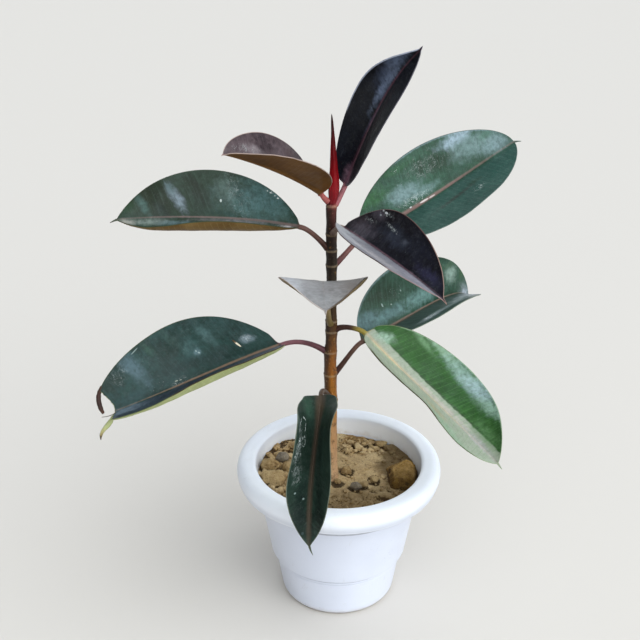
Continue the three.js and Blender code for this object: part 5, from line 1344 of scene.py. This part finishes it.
def scrap_material(name, stops, dark, along_axis="z"):
    """Dead or torn blade tissue: fibres along it and a colour that changes towards its end."""
    M = Mat(name)
    far = M.attr("far")
    p = M.scale(M.place(), (1000, 1000, 1000))
    fibre = M.noise(M.scale(p, (1.2, 1.2, 0.3)), 1.1, 4, 0.6, 0.3)
    spot = M.noise(p, 0.6, 4, 0.6)
    colour = M.ramp(M.add(far, M.mul(M.math("SUBTRACT", spot, 0.5), 0.5)), stops)
    colour = M.shade(colour, M.add(M.mul(fibre, 0.9), 0.5))
    colour = M.mix(M.mul(M.step(spot, 0.56, 0.68), 0.6), colour, dark)
    return M.done(colour, M.add(0.5, M.mul(fibre, 0.2)), M.add(M.mul(fibre, 0.25), M.mul(spot, 0.2)), Specular_IOR_Level=0.4)


v, f = bite_prism()
cut(leaf_objects["leaf_09_lower_left"], make("bite", v, f, leaf_objects["leaf_09_lower_left"].data.materials[0]))
SCRAPS = [
    ("torn_curl", [[-217.6, -73.6, 279.4], [-218.9, -75.4, 276.1], [-220.0, -77.0, 273.0], [-220.4, -79.0, 269.0], [-219.5, -81.5, 264.1], [-217.8, -83.5, 260.1], [-215.6, -85.1, 257.0]],
     [1.8, 3.6, 4.4, 4.8, 4.7, 4.3, 2.6], 0.7, 0.34, (1.0, -0.1, 0.1), [(0.0, "#3a2a18"), (0.25, "#3b1d10"), (0.7, "#2a130b"), (1.0, "#4a2715")], "#160b07"),
    ("torn_shred", [[-203.4, -86.6, 258.6], [-205.6, -87.0, 256.2], [-207.1, -87.3, 254.1], [-208.9, -88.8, 251.1], [-212.5, -90.8, 247.0], [-215.7, -92.6, 243.6], [-217.5, -94.3, 240.2], [-217.6, -96.4, 236.1]],
     [1.4, 2.6, 4.0, 4.8, 4.2, 3.2, 2.6, 0.6], 0.4, 0.10, (0.8, -0.3, -0.5), [(0.0, "#8c9460"), (0.55, "#aab07c"), (0.78, "#a59a66"), (0.88, "#4a2d18"), (1.0, "#2c170d")], "#8a8a58"),
    ("torn_strand", [[-203.0, -88.6, 260.6], [-207.5, -89.6, 258.4], [-211.5, -90.4, 257.4], [-216.0, -91.0, 257.0]],
     [1.4, 1.2, 0.9, 0.4], 0.5, 0.1, (0.2, -0.6, 0.7), [(0.0, "#4a4a34"), (1.0, "#4a3524")], "#2c2016"),
]
for name, path, widths, thick, cup, across, stops, dark in SCRAPS:
    (v, f), s = ribbon(path, widths, thick, cup, across)
    per = (len(v) - 2) // len(s)
    far = np.concatenate([np.repeat(s / s[-1], per), [0.0, 1.0]])
    ob = make(name, v, f, scrap_material(name, stops, dark), {"far": far})
    finish_piece(ob, ["leaf_09_lower_left"])

# ------------------------------------------------------------------ leaves ride with the part
for name, ob in leaf_objects.items():
    finish_piece(ob, [name])

# ------------------------------------------------------------------ floor, light
fm = Mat("floor")
floor_mat = fm.done("#d2cdc6", 0.9, None, Specular_IOR_Level=0.1)
fme = bpy.data.meshes.new("floor")
fme.from_pydata([(-9, -6, -0.0003), (9, -6, -0.0003), (9, 12, -0.0003), (-9, 12, -0.0003)], [], [(0, 1, 2, 3)])
fme.materials.append(floor_mat)
floor = bpy.data.objects.new("floor", fme)
scene.collection.objects.link(floor)

world = bpy.data.worlds.new("studio")
scene.world = world
world.use_nodes = True
wt = world.node_tree
wt.nodes.clear()


def wnode(kind, **props):
    n = wt.nodes.new(kind)
    for key, value in props.items():
        setattr(n, key, value)
    return n


def wput(sock, value):
    if isinstance(value, bpy.types.NodeSocket):
        wt.links.new(value, sock)
    else:
        sock.default_value = value


def wdot(direction):
    """Cosine between the looked-at direction and a fixed one."""
    n = wnode("ShaderNodeVectorMath", operation="DOT_PRODUCT")
    wput(n.inputs[0], coord)
    n.inputs[1].default_value = tuple(Vector(direction).normalized())
    return n.outputs["Value"]


def wrange(value, a, b, lo, hi):
    n = wnode("ShaderNodeMapRange", interpolation_type="SMOOTHSTEP")
    for key, x in (("Value", value), ("From Min", a), ("From Max", b), ("To Min", lo), ("To Max", hi)):
        wput(n.inputs[key], x)
    return n.outputs["Result"]


def wmath(op, a, b):
    n = wnode("ShaderNodeMath", operation=op)
    wput(n.inputs[0], a)
    wput(n.inputs[1], b)
    return n.outputs[0]


coord = wnode("ShaderNodeTexCoord").outputs["Generated"]
upw = wrange(wdot((0, 0, 1)), -0.05, 0.7, 0.44, 0.56)
key = wrange(wdot((0.46, -0.58, 0.67)), 0.45, 0.93, 0.0, 1.9)
front = wrange(wdot((0.0, -0.62, 0.78)), 0.5, 1.0, 0.0, 0.45)
back = wrange(wdot((0.05, 1.0, 0.30)), 0.72, 1.0, 0.0, 1.1)
leftdark = wrange(wdot((-1.0, -0.35, 0.15)), 0.2, 0.9, 1.0, 0.45)
strength = wmath("MULTIPLY", wmath("ADD", wmath("ADD", wmath("ADD", upw, key), back), front), leftdark)
bg = wnode("ShaderNodeBackground")
bg.inputs[0].default_value = (0.90, 0.95, 1.0, 1)
wput(bg.inputs[1], strength)
wo = wnode("ShaderNodeOutputWorld")
wt.links.new(bg.outputs[0], wo.inputs[0])


def area(name, at, to, size, watts, colour=(1, 1, 1)):
    d = bpy.data.lights.new(name, "AREA")
    d.shape = "DISK"
    d.size = size
    d.energy = watts
    d.color = colour
    ob = bpy.data.objects.new(name, d)
    scene.collection.objects.link(ob)
    ob.location = at
    ob.rotation_euler = (Vector(to) - Vector(at)).to_track_quat("-Z", "Y").to_euler()
    return ob


area("key", (1.6, -1.7, 1.9), (0, 0, 0.3), 1.5, 7.4, (1.0, 0.99, 0.97))
